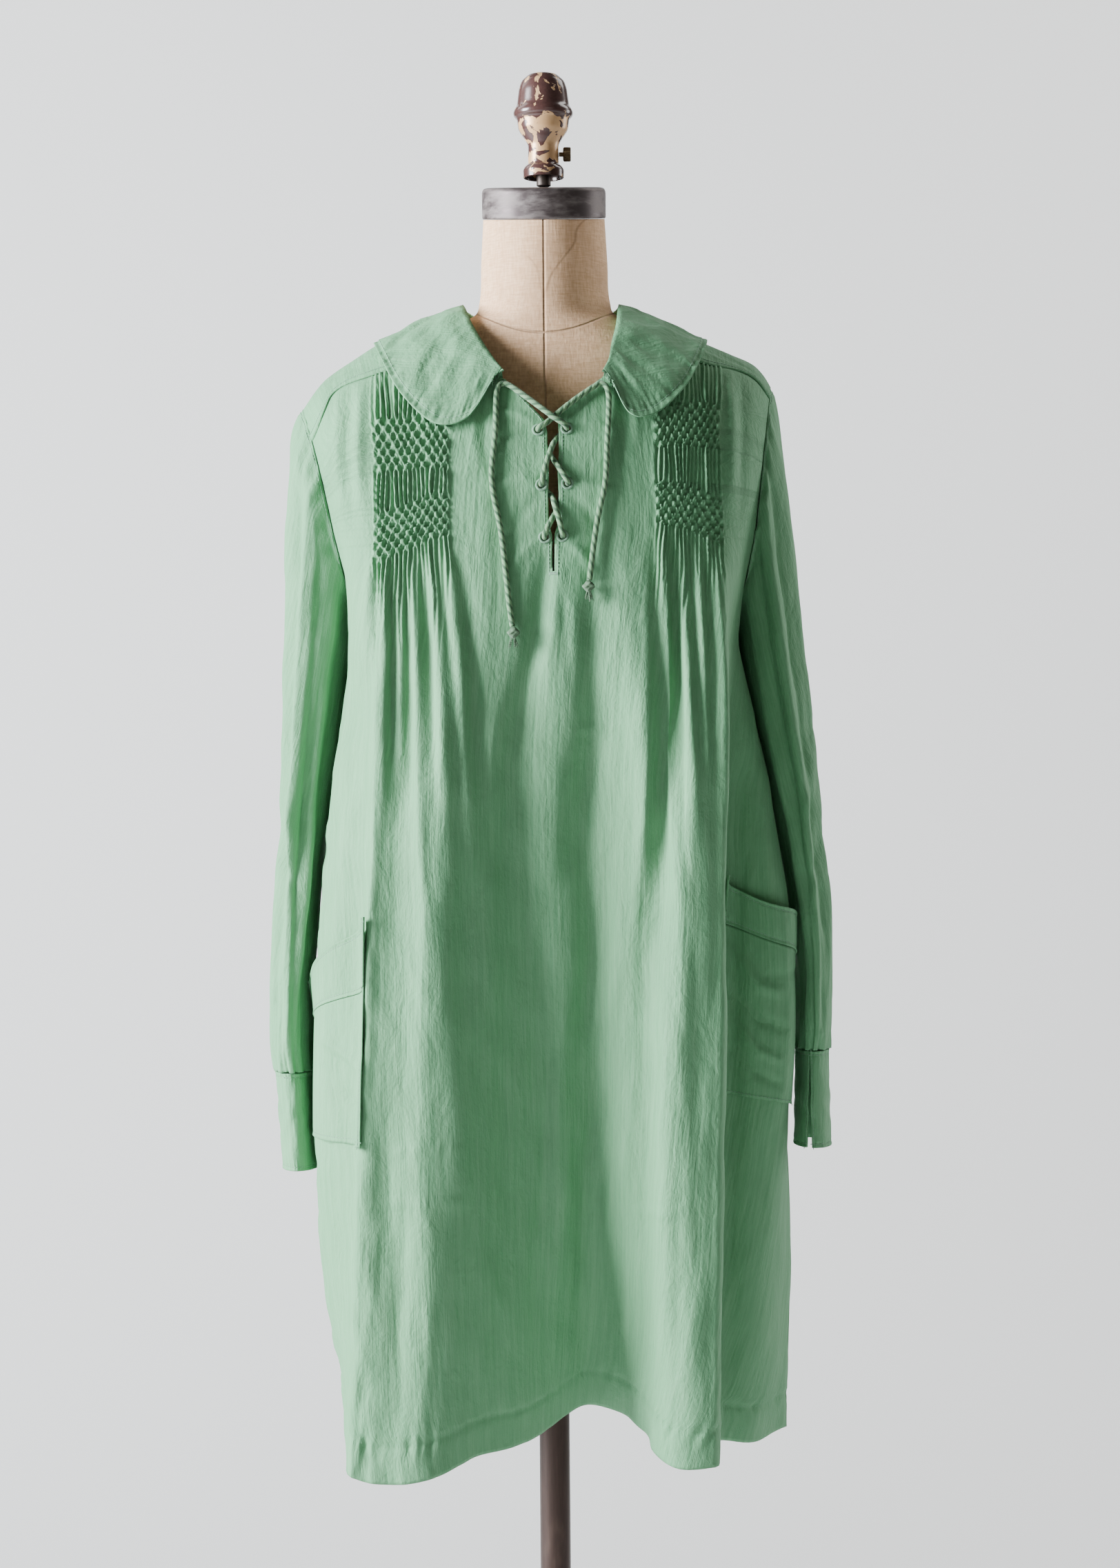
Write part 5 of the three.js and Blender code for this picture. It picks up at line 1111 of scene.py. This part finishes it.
for side, rings in SLEEVES.items():
    sign = -1 if side == "left" else 1
    start = []
    for angle in sleeve_angles:
        face = "front" if angle <= np.pi else "back"
        height = math.cos(angle)
        if height >= 0:
            depth = ARMHOLE_HALF_DEPTH * (-1 if face == "front" else 1)
            point = arch(face, np.array(float(ARMHOLE_CHEST_X[side])), np.array(float(depth)),
                         np.array(min(height, 0.9999)))
        else:
            low = max(CHEST_Z + (CHEST_Z - UNDERARM_Z) * height, UNDERARM_Z + 0.001)
            point = panel_edge(side, face, np.array(low))
        start.append(point + [sign * 0.8, 0, 0])
    reach = (1 + np.cos(sleeve_angles))[None, :] / 2
    hung = np.stack([rings[:, [2]] + (rings[:, [0]] - rings[:, [2]]) * reach,
                     -rings[:, [4]] * np.sin(sleeve_angles),
                     rings[:, [3]] + (rings[:, [1]] - rings[:, [3]]) * reach], axis=-1)
    rows = np.concatenate([np.array(start)[None], hung])
    rows[-1, :, 2] += 0.4
    down = spaced([(0, 0), (1, 12), (9, 112), (10, 12)])
    sleeve_grid = np.stack([through(rows[:, c], down) for c in range(rows.shape[1])], axis=1)
    sleeve_out = outward(sleeve_grid, wraps=True, axis=(sign * 205, 0))
    round_it = np.broadcast_to(sleeve_angles * 40, sleeve_grid.shape[:2])
    sag = creased(round_it, sleeve_grid[..., 2], SLEEVE_CREASES[side])
    near_cuff = unit((down - 7.2) / 2.8)[:, None] ** 1.4
    gathers = 1.35 * np.cos(12 * sleeve_angles + 0.8 * np.sin(3 * sleeve_angles)) \
        + 0.5 * np.cos(29 * sleeve_angles)
    near_head = (unit(1 - down / 1.6) * unit(down * 6))[:, None]
    eased = 1.5 * np.cos(26 * sleeve_angles + np.sin(5 * sleeve_angles))
    eased *= np.cos(sleeve_angles) > -0.3
    sag = sag + gathers * near_cuff + eased * near_head
    sag += crumpled(round_it, sleeve_grid[..., 2] * 0.5, 7 + sign, 30, 0.7)
    sag *= unit(down[:, None] * 3)
    sleeve_cloth = sleeve_grid + sleeve_out * sag[..., None]
    sleeve = shell(f"long_sleeve_{side}", sleeve_cloth, sleeve_cloth - sleeve_out * CLOTH, cotton,
                   wraps=True)
    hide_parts(f"sleeve_{side}")
    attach(sleeve, BODY)
    round_armhole = np.append(np.arange(len(sleeve_angles)), 0)
    sewn(f"armhole_stitches_{side}", [grid_line(sleeve_cloth, sleeve_out, 2, round_armhole, 0.1)])

# Cuffs: a doubled band of cotton each, open at a short slit, topstitched along all its edges. The
# gathered end of the sleeve is set into its top.
CUFFS = {
    "left": {"x": (-215.5, -211), "z": (778, 697), "half_width": (16, 15), "half_depth": (44.5, 41),
             "slit": -2.05, "slit_half": (0.02, 0.1)},
    "right": {"x": (219.3, 219), "z": (793, 712.5), "half_width": (13.8, 15.5),
              "half_depth": (44.5, 41), "slit": 1.95, "slit_half": (0.02, 0.16)}}
CUFF_STITCH = 3.4
for side, cuff in CUFFS.items():
    down = spaced([(0, 0), (0.08, 6), (0.92, 26), (1.0, 6)])[:, None]
    gap = cuff["slit_half"][0] + (cuff["slit_half"][1] - cuff["slit_half"][0]) * down
    turn = np.linspace(0, 1, 150)[None, :]
    angle = cuff["slit"] + gap + (2 * np.pi - 2 * gap) * turn

    def between(key):
        return cuff[key][0] + (cuff[key][1] - cuff[key][0]) * down

    cuff_grid = np.stack([between("x") + between("half_width") * np.cos(angle),
                          -between("half_depth") * np.sin(angle),
                          between("z") + 0 * angle], axis=-1)
    cuff_out = outward(cuff_grid, axis=(cuff["x"][0], 0))
    length = cuff["z"][0] - cuff["z"][1]
    edge = np.minimum(np.minimum(down, 1 - down) * length, np.minimum(turn, 1 - turn) * 230)
    press = 0.45 * bell(edge, 1.5) - 0.4 * bell(edge - CUFF_STITCH, 0.9)
    press += crumpled(angle * 36, down * length, 21 + (side == "left"), 26, 0.6) \
        * np.sin(np.pi * down)
    press += 0.3 * np.sin(angle * 31 + 3 * np.sin(angle * 7)) * bell(edge - CUFF_STITCH, 4)
    press += 0.3 * np.cos(angle * 23) * unit(1 - down * 5)
    cuff_cloth = cuff_grid + cuff_out * press[..., None]
    band = shell(f"cuff_band_{side}", cuff_cloth, cuff_cloth - cuff_out * 1.9, cotton)
    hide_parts(f"cuff_{side}")
    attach(band, BODY)
    top_row, bottom_row = (np.argmin(np.abs(inward[:, 0] * length - CUFF_STITCH))
                           for inward in (down, 1 - down))
    sewn(f"cuff_stitches_{side}", [grid_line(cuff_cloth, cuff_out, *place) for place in (
        (top_row,), (bottom_row,), (slice(None), 2), (slice(None), -3))])

# Pockets: a patch on each hip, topstitched on, with a deep slanted band along its top that stands
# a little away from the cloth
POCKETS = {
    "left": {"columns": (2, 0.5), "top": (911, 851), "seam": (856, 822), "bottom": (727, 729)},
    "right": {"columns": (13.5, 15.5), "top": (941, 900), "seam": (909, 870), "bottom": (765, 748)}}
POCKET_CREASES = [
    (-186, 812, -170, 800, -150, 784, 4, 2.8), (-186, 790, -172, 768, -154, 752, 4, -2.6),
    (-164, 850, -162, 800, -160, 740, 4.5, 2.6), (-176, 850, -174, 800, -174, 740, 4, -2.2),
    (146, 884, 170, 850, 192, 842, 5, 2.8), (146, 850, 172, 822, 194, 812, 5, -2.6),
    (146, 826, 170, 796, 192, 786, 4.5, 2.6), (150, 800, 168, 778, 190, 766, 4, -2.2)]
POCKET_STITCH = 3.0
for side, pocket in POCKETS.items():
    for name, node, upper, lower, flare, thick, count in (
            (f"hip_pocket_{side}", f"pocket_{side}", "seam", "bottom", 0.0, 1.1, 60),
            (f"pocket_top_band_{side}", f"pocket_band_{side}", "top", "seam", 2.6, 1.9, 40)):
        is_band = upper == "top"
        share = np.linspace(0, 1, 70)[None, :]
        down = np.linspace(0, 1, count)[:, None]
        start = pocket[upper][0] + (pocket[upper][1] - pocket[upper][0]) * share
        end = pocket[lower][0] + (pocket[lower][1] - pocket[lower][0]) * share
        if not is_band:
            start = start - 0.4
        columns = pocket["columns"][0] + (pocket["columns"][1] - pocket["columns"][0]) * share
        patch = section("front", columns + 0 * down, start + (end - start) * down)
        patch_out = outward(patch)
        tall = np.abs(start - end)
        wide = np.linalg.norm(np.diff(patch, axis=1), axis=-1).sum(axis=1).mean()
        edge = np.minimum(np.minimum(down, 1 - down) * tall, np.minimum(share, 1 - share) * wide)
        press = 0.4 * bell(edge, 1.4) - 0.4 * bell(edge - POCKET_STITCH, 0.9)
        press += creased(patch[..., 0], patch[..., 2], FRONT_CREASES + POCKET_CREASES)
        if (side, is_band) == ("left", True):
            press += 4.5 * unit((share - 0.72) / 0.28) ** 2 * (1 - down) ** 1.5
        base = 1.35 + flare * (1 - down) + press
        patch_cloth = patch + patch_out * (base + thick)[..., None]
        piece = shell(name, patch_cloth, patch + patch_out * base[..., None], cotton)
        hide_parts(node)
        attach(piece, BODY)
        tall_mean = float(tall.mean())
        first = int(np.argmin(np.abs(share[0] * wide - POCKET_STITCH)))
        row = int(np.argmin(np.abs(down[:, 0] * tall_mean - POCKET_STITCH)))
        lines = [grid_line(patch_cloth, patch_out, columns=first),
                 grid_line(patch_cloth, patch_out, columns=-1 - first),
                 grid_line(patch_cloth, patch_out, rows=-1 - row)]
        if is_band:
            lines.append(grid_line(patch_cloth, patch_out, rows=row))
        sewn(f"{name}_stitches", lines)

# Form: a padded body of papier-mache under a sewn cover of unbleached linen, with a seam down the
# centre front and a curved one at the foot of the neck. The cover is old and water-stained.
FORM_RINGS = np.array([
    (760, 146, 82, 88), (800, 153, 88, 92), (870, 150, 92, 92), (945, 132, 90, 86),
    (1020, 116, 86, 80), (1100, 130, 98, 84), (1170, 144, 110, 90), (1230, 156, 100, 92),
    (1290, 172, 84, 88), (1328, 180, 72, 78), (1350, 172, 66, 70), (1374, 145, 62, 64),
    (1393, 105, 58, 61), (1407, 63, 56, 57), (1420, 55, 54, 54), (1455, 53, 52, 52),
    (1491, 51, 51, 51)], float)
NECK_TILT = math.radians(10)
heights = np.concatenate([np.linspace(760, 1400, 110), np.linspace(1401.5, 1491, 60)])
angles = np.linspace(0, 2 * np.pi, 144, endpoint=False)
half, front_depth, back_depth = (along(FORM_RINGS[:, 0], FORM_RINGS[:, k], heights)[:, None]
                                 for k in (1, 2, 3))
cover = np.stack([half * np.cos(angles),
                  np.where(np.sin(angles) < 0, front_depth, back_depth) * np.sin(angles),
                  np.broadcast_to(heights[:, None], (len(heights), len(angles)))], axis=-1)
lean = np.clip((cover[..., 2] - 1410) / 75, 0, 1)
cover[..., 2] += cover[..., 1] * math.tan(NECK_TILT) * lean * lean * (3 - 2 * lean)
linen = finish("old linen cover", (216, 190, 162), 0.88)
at_form = place_of(linen)
at = axes_of(linen, at_form)
blotch = noise(linen, at_form, 17.0, 4.0, 0.55, 0.6)
# Edges of dried water stains on the front of the neck: x at heights from the foot, in millimetres
TIDE_LINES = [
    ([(1, 1417), (2.5, 1424), (6.5, 1436), (17, 1451), (26, 1464), (30, 1478), (26, 1489)], 0.5),
    ([(0, 1415), (-1.5, 1424), (-3, 1432), (-7.5, 1446), (-13, 1452), (-20, 1455), (-30, 1456)],
     0.3)]
TIDE_WIDTH = 80


def tide_line(line, strength):
    """Share of stain along one dried edge."""
    low, high = line[0][1] * MM, line[-1][1] * MM
    node = step_in(linen, "ShaderNodeFloatCurve", Value=ramp(linen, at["Z"], low, high))
    curve = node.mapping.curves[0]
    for x, z in line:
        t = (z * MM - low) / (high - low)
        curve.points.new(t * t * (3 - 2 * t), x / TIDE_WIDTH + 0.5)
    curve.points.remove(curve.points[0])
    curve.points.remove(curve.points[-1])
    node.mapping.update()
    across = sums(linen, "ADD", times(linen, at["X"], 1000 / TIDE_WIDTH), 0.5)
    away = sums(linen, "ADD", sums(linen, "SUBTRACT", across, node.outputs["Value"]),
                times(linen, blotch, 0.02))
    edge = ramp(linen, sums(linen, "ABSOLUTE", away), 0.024, 0.0, 0.0, strength)
    for axis, outside, inside in (("Z", low, low + 0.008), ("Z", high, high - 0.006),
                                  ("Y", 0.0, -0.02)):
        edge = times(linen, edge, ramp(linen, at[axis], outside, inside))
    return edge


threads_up = noise(linen, place_of(linen, (620, 620, 90)), 1.0, 3.0, 0.6)
threads_across = noise(linen, place_of(linen, (90, 90, 900)), 1.0, 3.0, 0.6)
weave_height = sums(linen, "ADD", threads_up, threads_across)
tide = sums(linen, "ABSOLUTE", sums(linen, "SUBTRACT", blotch, 0.52))
colour = blended(linen, ramp(linen, weave_height, 0.7, 1.3), (214, 170, 130), (240, 200, 160))
colour = blended(linen, ramp(linen, blotch, 0.48, 0.62, 0.0, 0.3), colour, (188, 150, 116))
colour = blended(linen, ramp(linen, tide, 0.008, 0.0, 0.0, 0.16), colour, (150, 110, 78))
for line, strength in TIDE_LINES:
    colour = blended(linen, tide_line(line, strength), colour, (142, 104, 74))
# Seams: one up the centre and one round the foot of the neck, whose height rises with x squared
SEAM_WIDTH, NECK_SEAM_Z, NECK_SEAM_BEND = 0.0016, 1.388, 6.1
neck_seam = sums(linen, "ADD", NECK_SEAM_Z,
                 times(linen, times(linen, at["X"], at["X"]), NECK_SEAM_BEND))
seam_up, seam_round = (ramp(linen, sums(linen, "ABSOLUTE", gap), SEAM_WIDTH, 0.0)
                       for gap in (at["X"], sums(linen, "SUBTRACT", at["Z"], neck_seam)))
seams = sums(linen, "MAXIMUM", seam_up, seam_round)
linen_bump = raised(linen, weave_height, 0.0004, 0.5)
linen_bump = raised(linen, noise(linen, at_form, 30.0, 3.0), 0.003, 0.3, linen_bump)
linen_bump = raised(linen, times(linen, seams, -1.0), 0.0012, 0.8, linen_bump)
dress(linen, Base_Color=blended(linen, times(linen, seams, 0.45), colour, (150, 118, 90)),
      Normal=linen_bump)
form = finished("form_cover", cover.reshape(-1, 3), tube_faces(len(heights), len(angles)), linen)
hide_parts("form_body")
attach(form, BODY)


CREASE = math.radians(38)


def turned_piece(name, profile, material, segments=96, place=(0, 0, 0), tilt=0.0):
    """A closed turned piece from a profile of radius and height in millimetres."""
    points, rings = [], []
    for radius, height in profile:
        rings.append(len(points))
        if radius < 1e-6:
            points.append((0, 0, height))
        else:
            points += [(radius * math.cos(a), radius * math.sin(a), height)
                       for a in np.linspace(0, 2 * np.pi, segments, endpoint=False)]
    faces = []
    for (r0, _), (r1, _), a, b in zip(profile, profile[1:], rings, rings[1:]):
        for s in range(segments):
            t = (s + 1) % segments
            if r0 < 1e-6:
                faces.append((a, b + t, b + s))
            elif r1 < 1e-6:
                faces.append((a + s, a + t, b))
            else:
                faces.append((a + s, a + t, b + t, b + s))
    points = np.array(points, float)
    y, z = points[:, 1].copy(), points[:, 2].copy()
    points[:, 1] = y * math.cos(tilt) - z * math.sin(tilt)
    points[:, 2] = y * math.sin(tilt) + z * math.cos(tilt)
    piece = finished(name, points + np.array(place, float), faces, material)
    crisp(piece, CREASE)
    return piece


def rounded_profile(corners, reach):
    """Profile with its inner corners eased over a short reach."""
    result = [corners[0]]
    for before, here, after in zip(corners, corners[1:], corners[2:]):
        before, here, after = (np.array(p, float) for p in (before, here, after))
        cut = min(reach, np.linalg.norm(before - here) / 2.2, np.linalg.norm(after - here) / 2.2)
        first = here + (before - here) / np.linalg.norm(before - here) * cut
        last = here + (after - here) / np.linalg.norm(after - here) * cut
        for t in np.linspace(0, 1, 5):
            point = (1 - t) ** 2 * first + 2 * t * (1 - t) * here + t * t * last
            result.append((max(0.0, float(point[0])), float(point[1])))
    result.append(corners[-1])
    return result


# Neck cap: a spun lid of grey-brown metal over the top of the neck, worn at its rim. It lies at the
# slant of the neck's top and the finial's rod stands on it.
cap_metal = finish("worn cap metal", (96, 88, 88), 0.5, 0.55)
cap_wear = noise(cap_metal, place_of(cap_metal, (1, 1, 3)), 38.0, 5.0, 0.62)
worn = ramp(cap_metal, cap_wear, 0.38, 0.66)
dress(cap_metal, Base_Color=blended(cap_metal, worn, (78, 69, 69), (126, 118, 116)),
      Roughness=ramp(cap_metal, cap_wear, 0.3, 0.7, 0.4, 0.68),
      Normal=raised(cap_metal, cap_wear, 0.0004, 0.4))
CAP = [(0, 0), (51.4, 0), (52, 1.2), (52, 22.5), (50.6, 25.2), (47, 26), (0, 26)]
cap = turned_piece("neck_lid", rounded_profile(CAP, 1.6), cap_metal, 128, (0, 0, 1491.4), NECK_TILT)
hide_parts("neck_cap")
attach(cap, BODY)

# Finial: a turned brass socket with a rolled rim, its purple-brown paint flaking to the metal. It
# slides on a short steel rod and a knurled thumb screw holds it.
flaked = finish("flaking paint on brass", (96, 70, 66), 0.32)
at_finial = place_of(flaked)
chips = noise(flaked, at_finial, 74.0, 3.0, 0.5, 1.1)
fine_chips = noise(flaked, at_finial, 420.0, 4.0, 0.6)
up_finial = axes_of(flaked, at_finial)["Z"]
kept = sums(flaked, "ADD", ramp(flaked, up_finial, 1.572, 1.579, -0.045, 0.1),
            ramp(flaked, up_finial, 1.541, 1.536, 0.0, 0.1))
bare = sums(flaked, "SUBTRACT", sums(flaked, "ADD", chips, times(flaked, fine_chips, 0.1)), kept)
mask = ramp(flaked, bare, 0.54, 0.555)
paint = blended(flaked, fine_chips, (62, 42, 40), (92, 64, 60))
metal = blended(flaked, chips, (200, 146, 92), (232, 194, 148))
dress(flaked, Base_Color=blended(flaked, mask, paint, metal),
      Roughness=ramp(flaked, mask, 0, 1, 0.24, 0.4), Metallic=ramp(flaked, mask, 0, 1, 0.05, 0.25),
      Normal=raised(flaked, times(flaked, mask, -1.0), 0.0003, 0.8), Coat_Weight=0.25)
FINIAL = [(6.3, 1534), (15, 1530), (15.6, 1525.6), (17, 1525.6), (17.3, 1532.5), (15.6, 1535.4),
          (12.9, 1537), (12.8, 1553.5), (15.6, 1558.5), (20.8, 1566), (22, 1575), (24.6, 1577.5),
          (25.2, 1580), (24.4, 1583), (22.2, 1586), (21.4, 1592), (20.4, 1600), (18.2, 1607),
          (12, 1612.6), (0, 1614.5), (0, 1546), (6.3, 1546), (6.3, 1534)]
finial = turned_piece("socket_finial", rounded_profile(FINIAL[:20], 2.4) + FINIAL[20:], flaked, 96)
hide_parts("finial")
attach(finial, BODY)

steel = finish("dull steel", (70, 62, 58), 0.5, 0.7)
steel_grain = noise(steel, place_of(steel, (1, 1, 0.2)), 260.0, 4.0)
dress(steel, Base_Color=blended(steel, steel_grain, (52, 44, 40), (98, 88, 82)),
      Normal=raised(steel, steel_grain, 0.0002, 0.4))
ROD = [(0, 1518.9), (6, 1518.9), (6, 1545), (0, 1545)]
rod = turned_piece("cap_rod", rounded_profile(ROD, 0.6), steel, 48)
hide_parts("neck_rod")
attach(rod, BODY)

knurl = finish("knurled brass", (112, 94, 70), 0.42, 0.8)
knurl_tarnish = noise(knurl, place_of(knurl), 500.0, 3.0)
dress(knurl, Base_Color=blended(knurl, knurl_tarnish, (70, 56, 44), (150, 128, 92)))
# Rings of the screw, from its tip to its head: radius and distance along its axis
SCREW = [(1.9, 0), (1.9, 3.2), (5.2, 3.6), (5.8, 4.4), (5.8, 9.2), (5.2, 10)]
SCREW_TIP_X, SCREW_Z, SCREW_SIDES, TEETH = 13, 1545.5, 96, 24
screw_points = []
round_screw = np.linspace(0, 2 * np.pi, SCREW_SIDES, endpoint=False)
for radius, height in SCREW:
    knurled = radius + (0.22 * np.cos(TEETH * round_screw) if radius > 5 else 0)
    screw_points += zip(SCREW_TIP_X + height + 0 * round_screw, knurled * np.sin(round_screw),
                        SCREW_Z - knurled * np.cos(round_screw))
screw = finished("knurled_screw", screw_points, tube_faces(len(SCREW), SCREW_SIDES), knurl)
crisp(screw, CREASE)
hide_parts("thumb_screw")
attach(screw, "thumb_screw")

# Stand: a tube of dark brown metal under the form, a round plate that carries the form, and a
# heavy round base of cast iron
brown = finish("brown pole metal", (62, 46, 40), 0.38, 0.45)
pole_grain = noise(brown, place_of(brown, (1, 1, 0.08)), 420.0, 4.0, 0.6)
rub = noise(brown, place_of(brown, (1, 1, 0.3)), 30.0, 4.0)
pole_colour = blended(brown, pole_grain, (46, 33, 29), (74, 56, 49))
rubbed = ramp(brown, rub, 0.56, 0.74, 0.0, 0.5)
dress(brown, Base_Color=blended(brown, rubbed, pole_colour, (104, 86, 76)),
      Normal=raised(brown, pole_grain, 0.0001, 0.4))
pole = turned_piece("stand_pole", [(0, 12), (12.75, 12), *((12.75, h) for h in range(60, 757, 60)),
                                   (12.75, 757), (0, 757)], brown, 64)
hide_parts("pole")
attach(pole, BODY)

iron = finish("cast iron", (58, 52, 50), 0.55, 0.5)
iron_skin = noise(iron, place_of(iron), 210.0, 5.0, 0.65)
iron_wear = noise(iron, place_of(iron), 24.0, 4.0)
iron_colour = blended(iron, iron_skin, (44, 39, 37), (74, 66, 62))
rusted = ramp(iron, iron_wear, 0.55, 0.75, 0.0, 0.5)
dress(iron, Base_Color=blended(iron, rusted, iron_colour, (96, 84, 76)),
      Normal=raised(iron, iron_skin, 0.0008, 0.5))
plate = turned_piece("form_plate_disc", [(13.05, 738), (19, 738), (22, 741), (24, 753), (62, 755),
                                         (62, 759.7), (13.05, 759.7), (13.05, 738)], iron, 96)
BASE = [(0, 0), (207, 0), (210, 4), (209, 10), (198, 15), (120, 21), (46, 30), (27, 38), (22, 50),
        (21, 72), (19, 75), (13.05, 75), (13.05, 11.7), (0, 11.7)]
base = turned_piece("round_base", rounded_profile(BASE[:11], 2.0) + BASE[11:], iron, 144)
for piece, node in ((plate, "form_plate"), (base, "stand_base")):
    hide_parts(node)
    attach(piece, BODY)
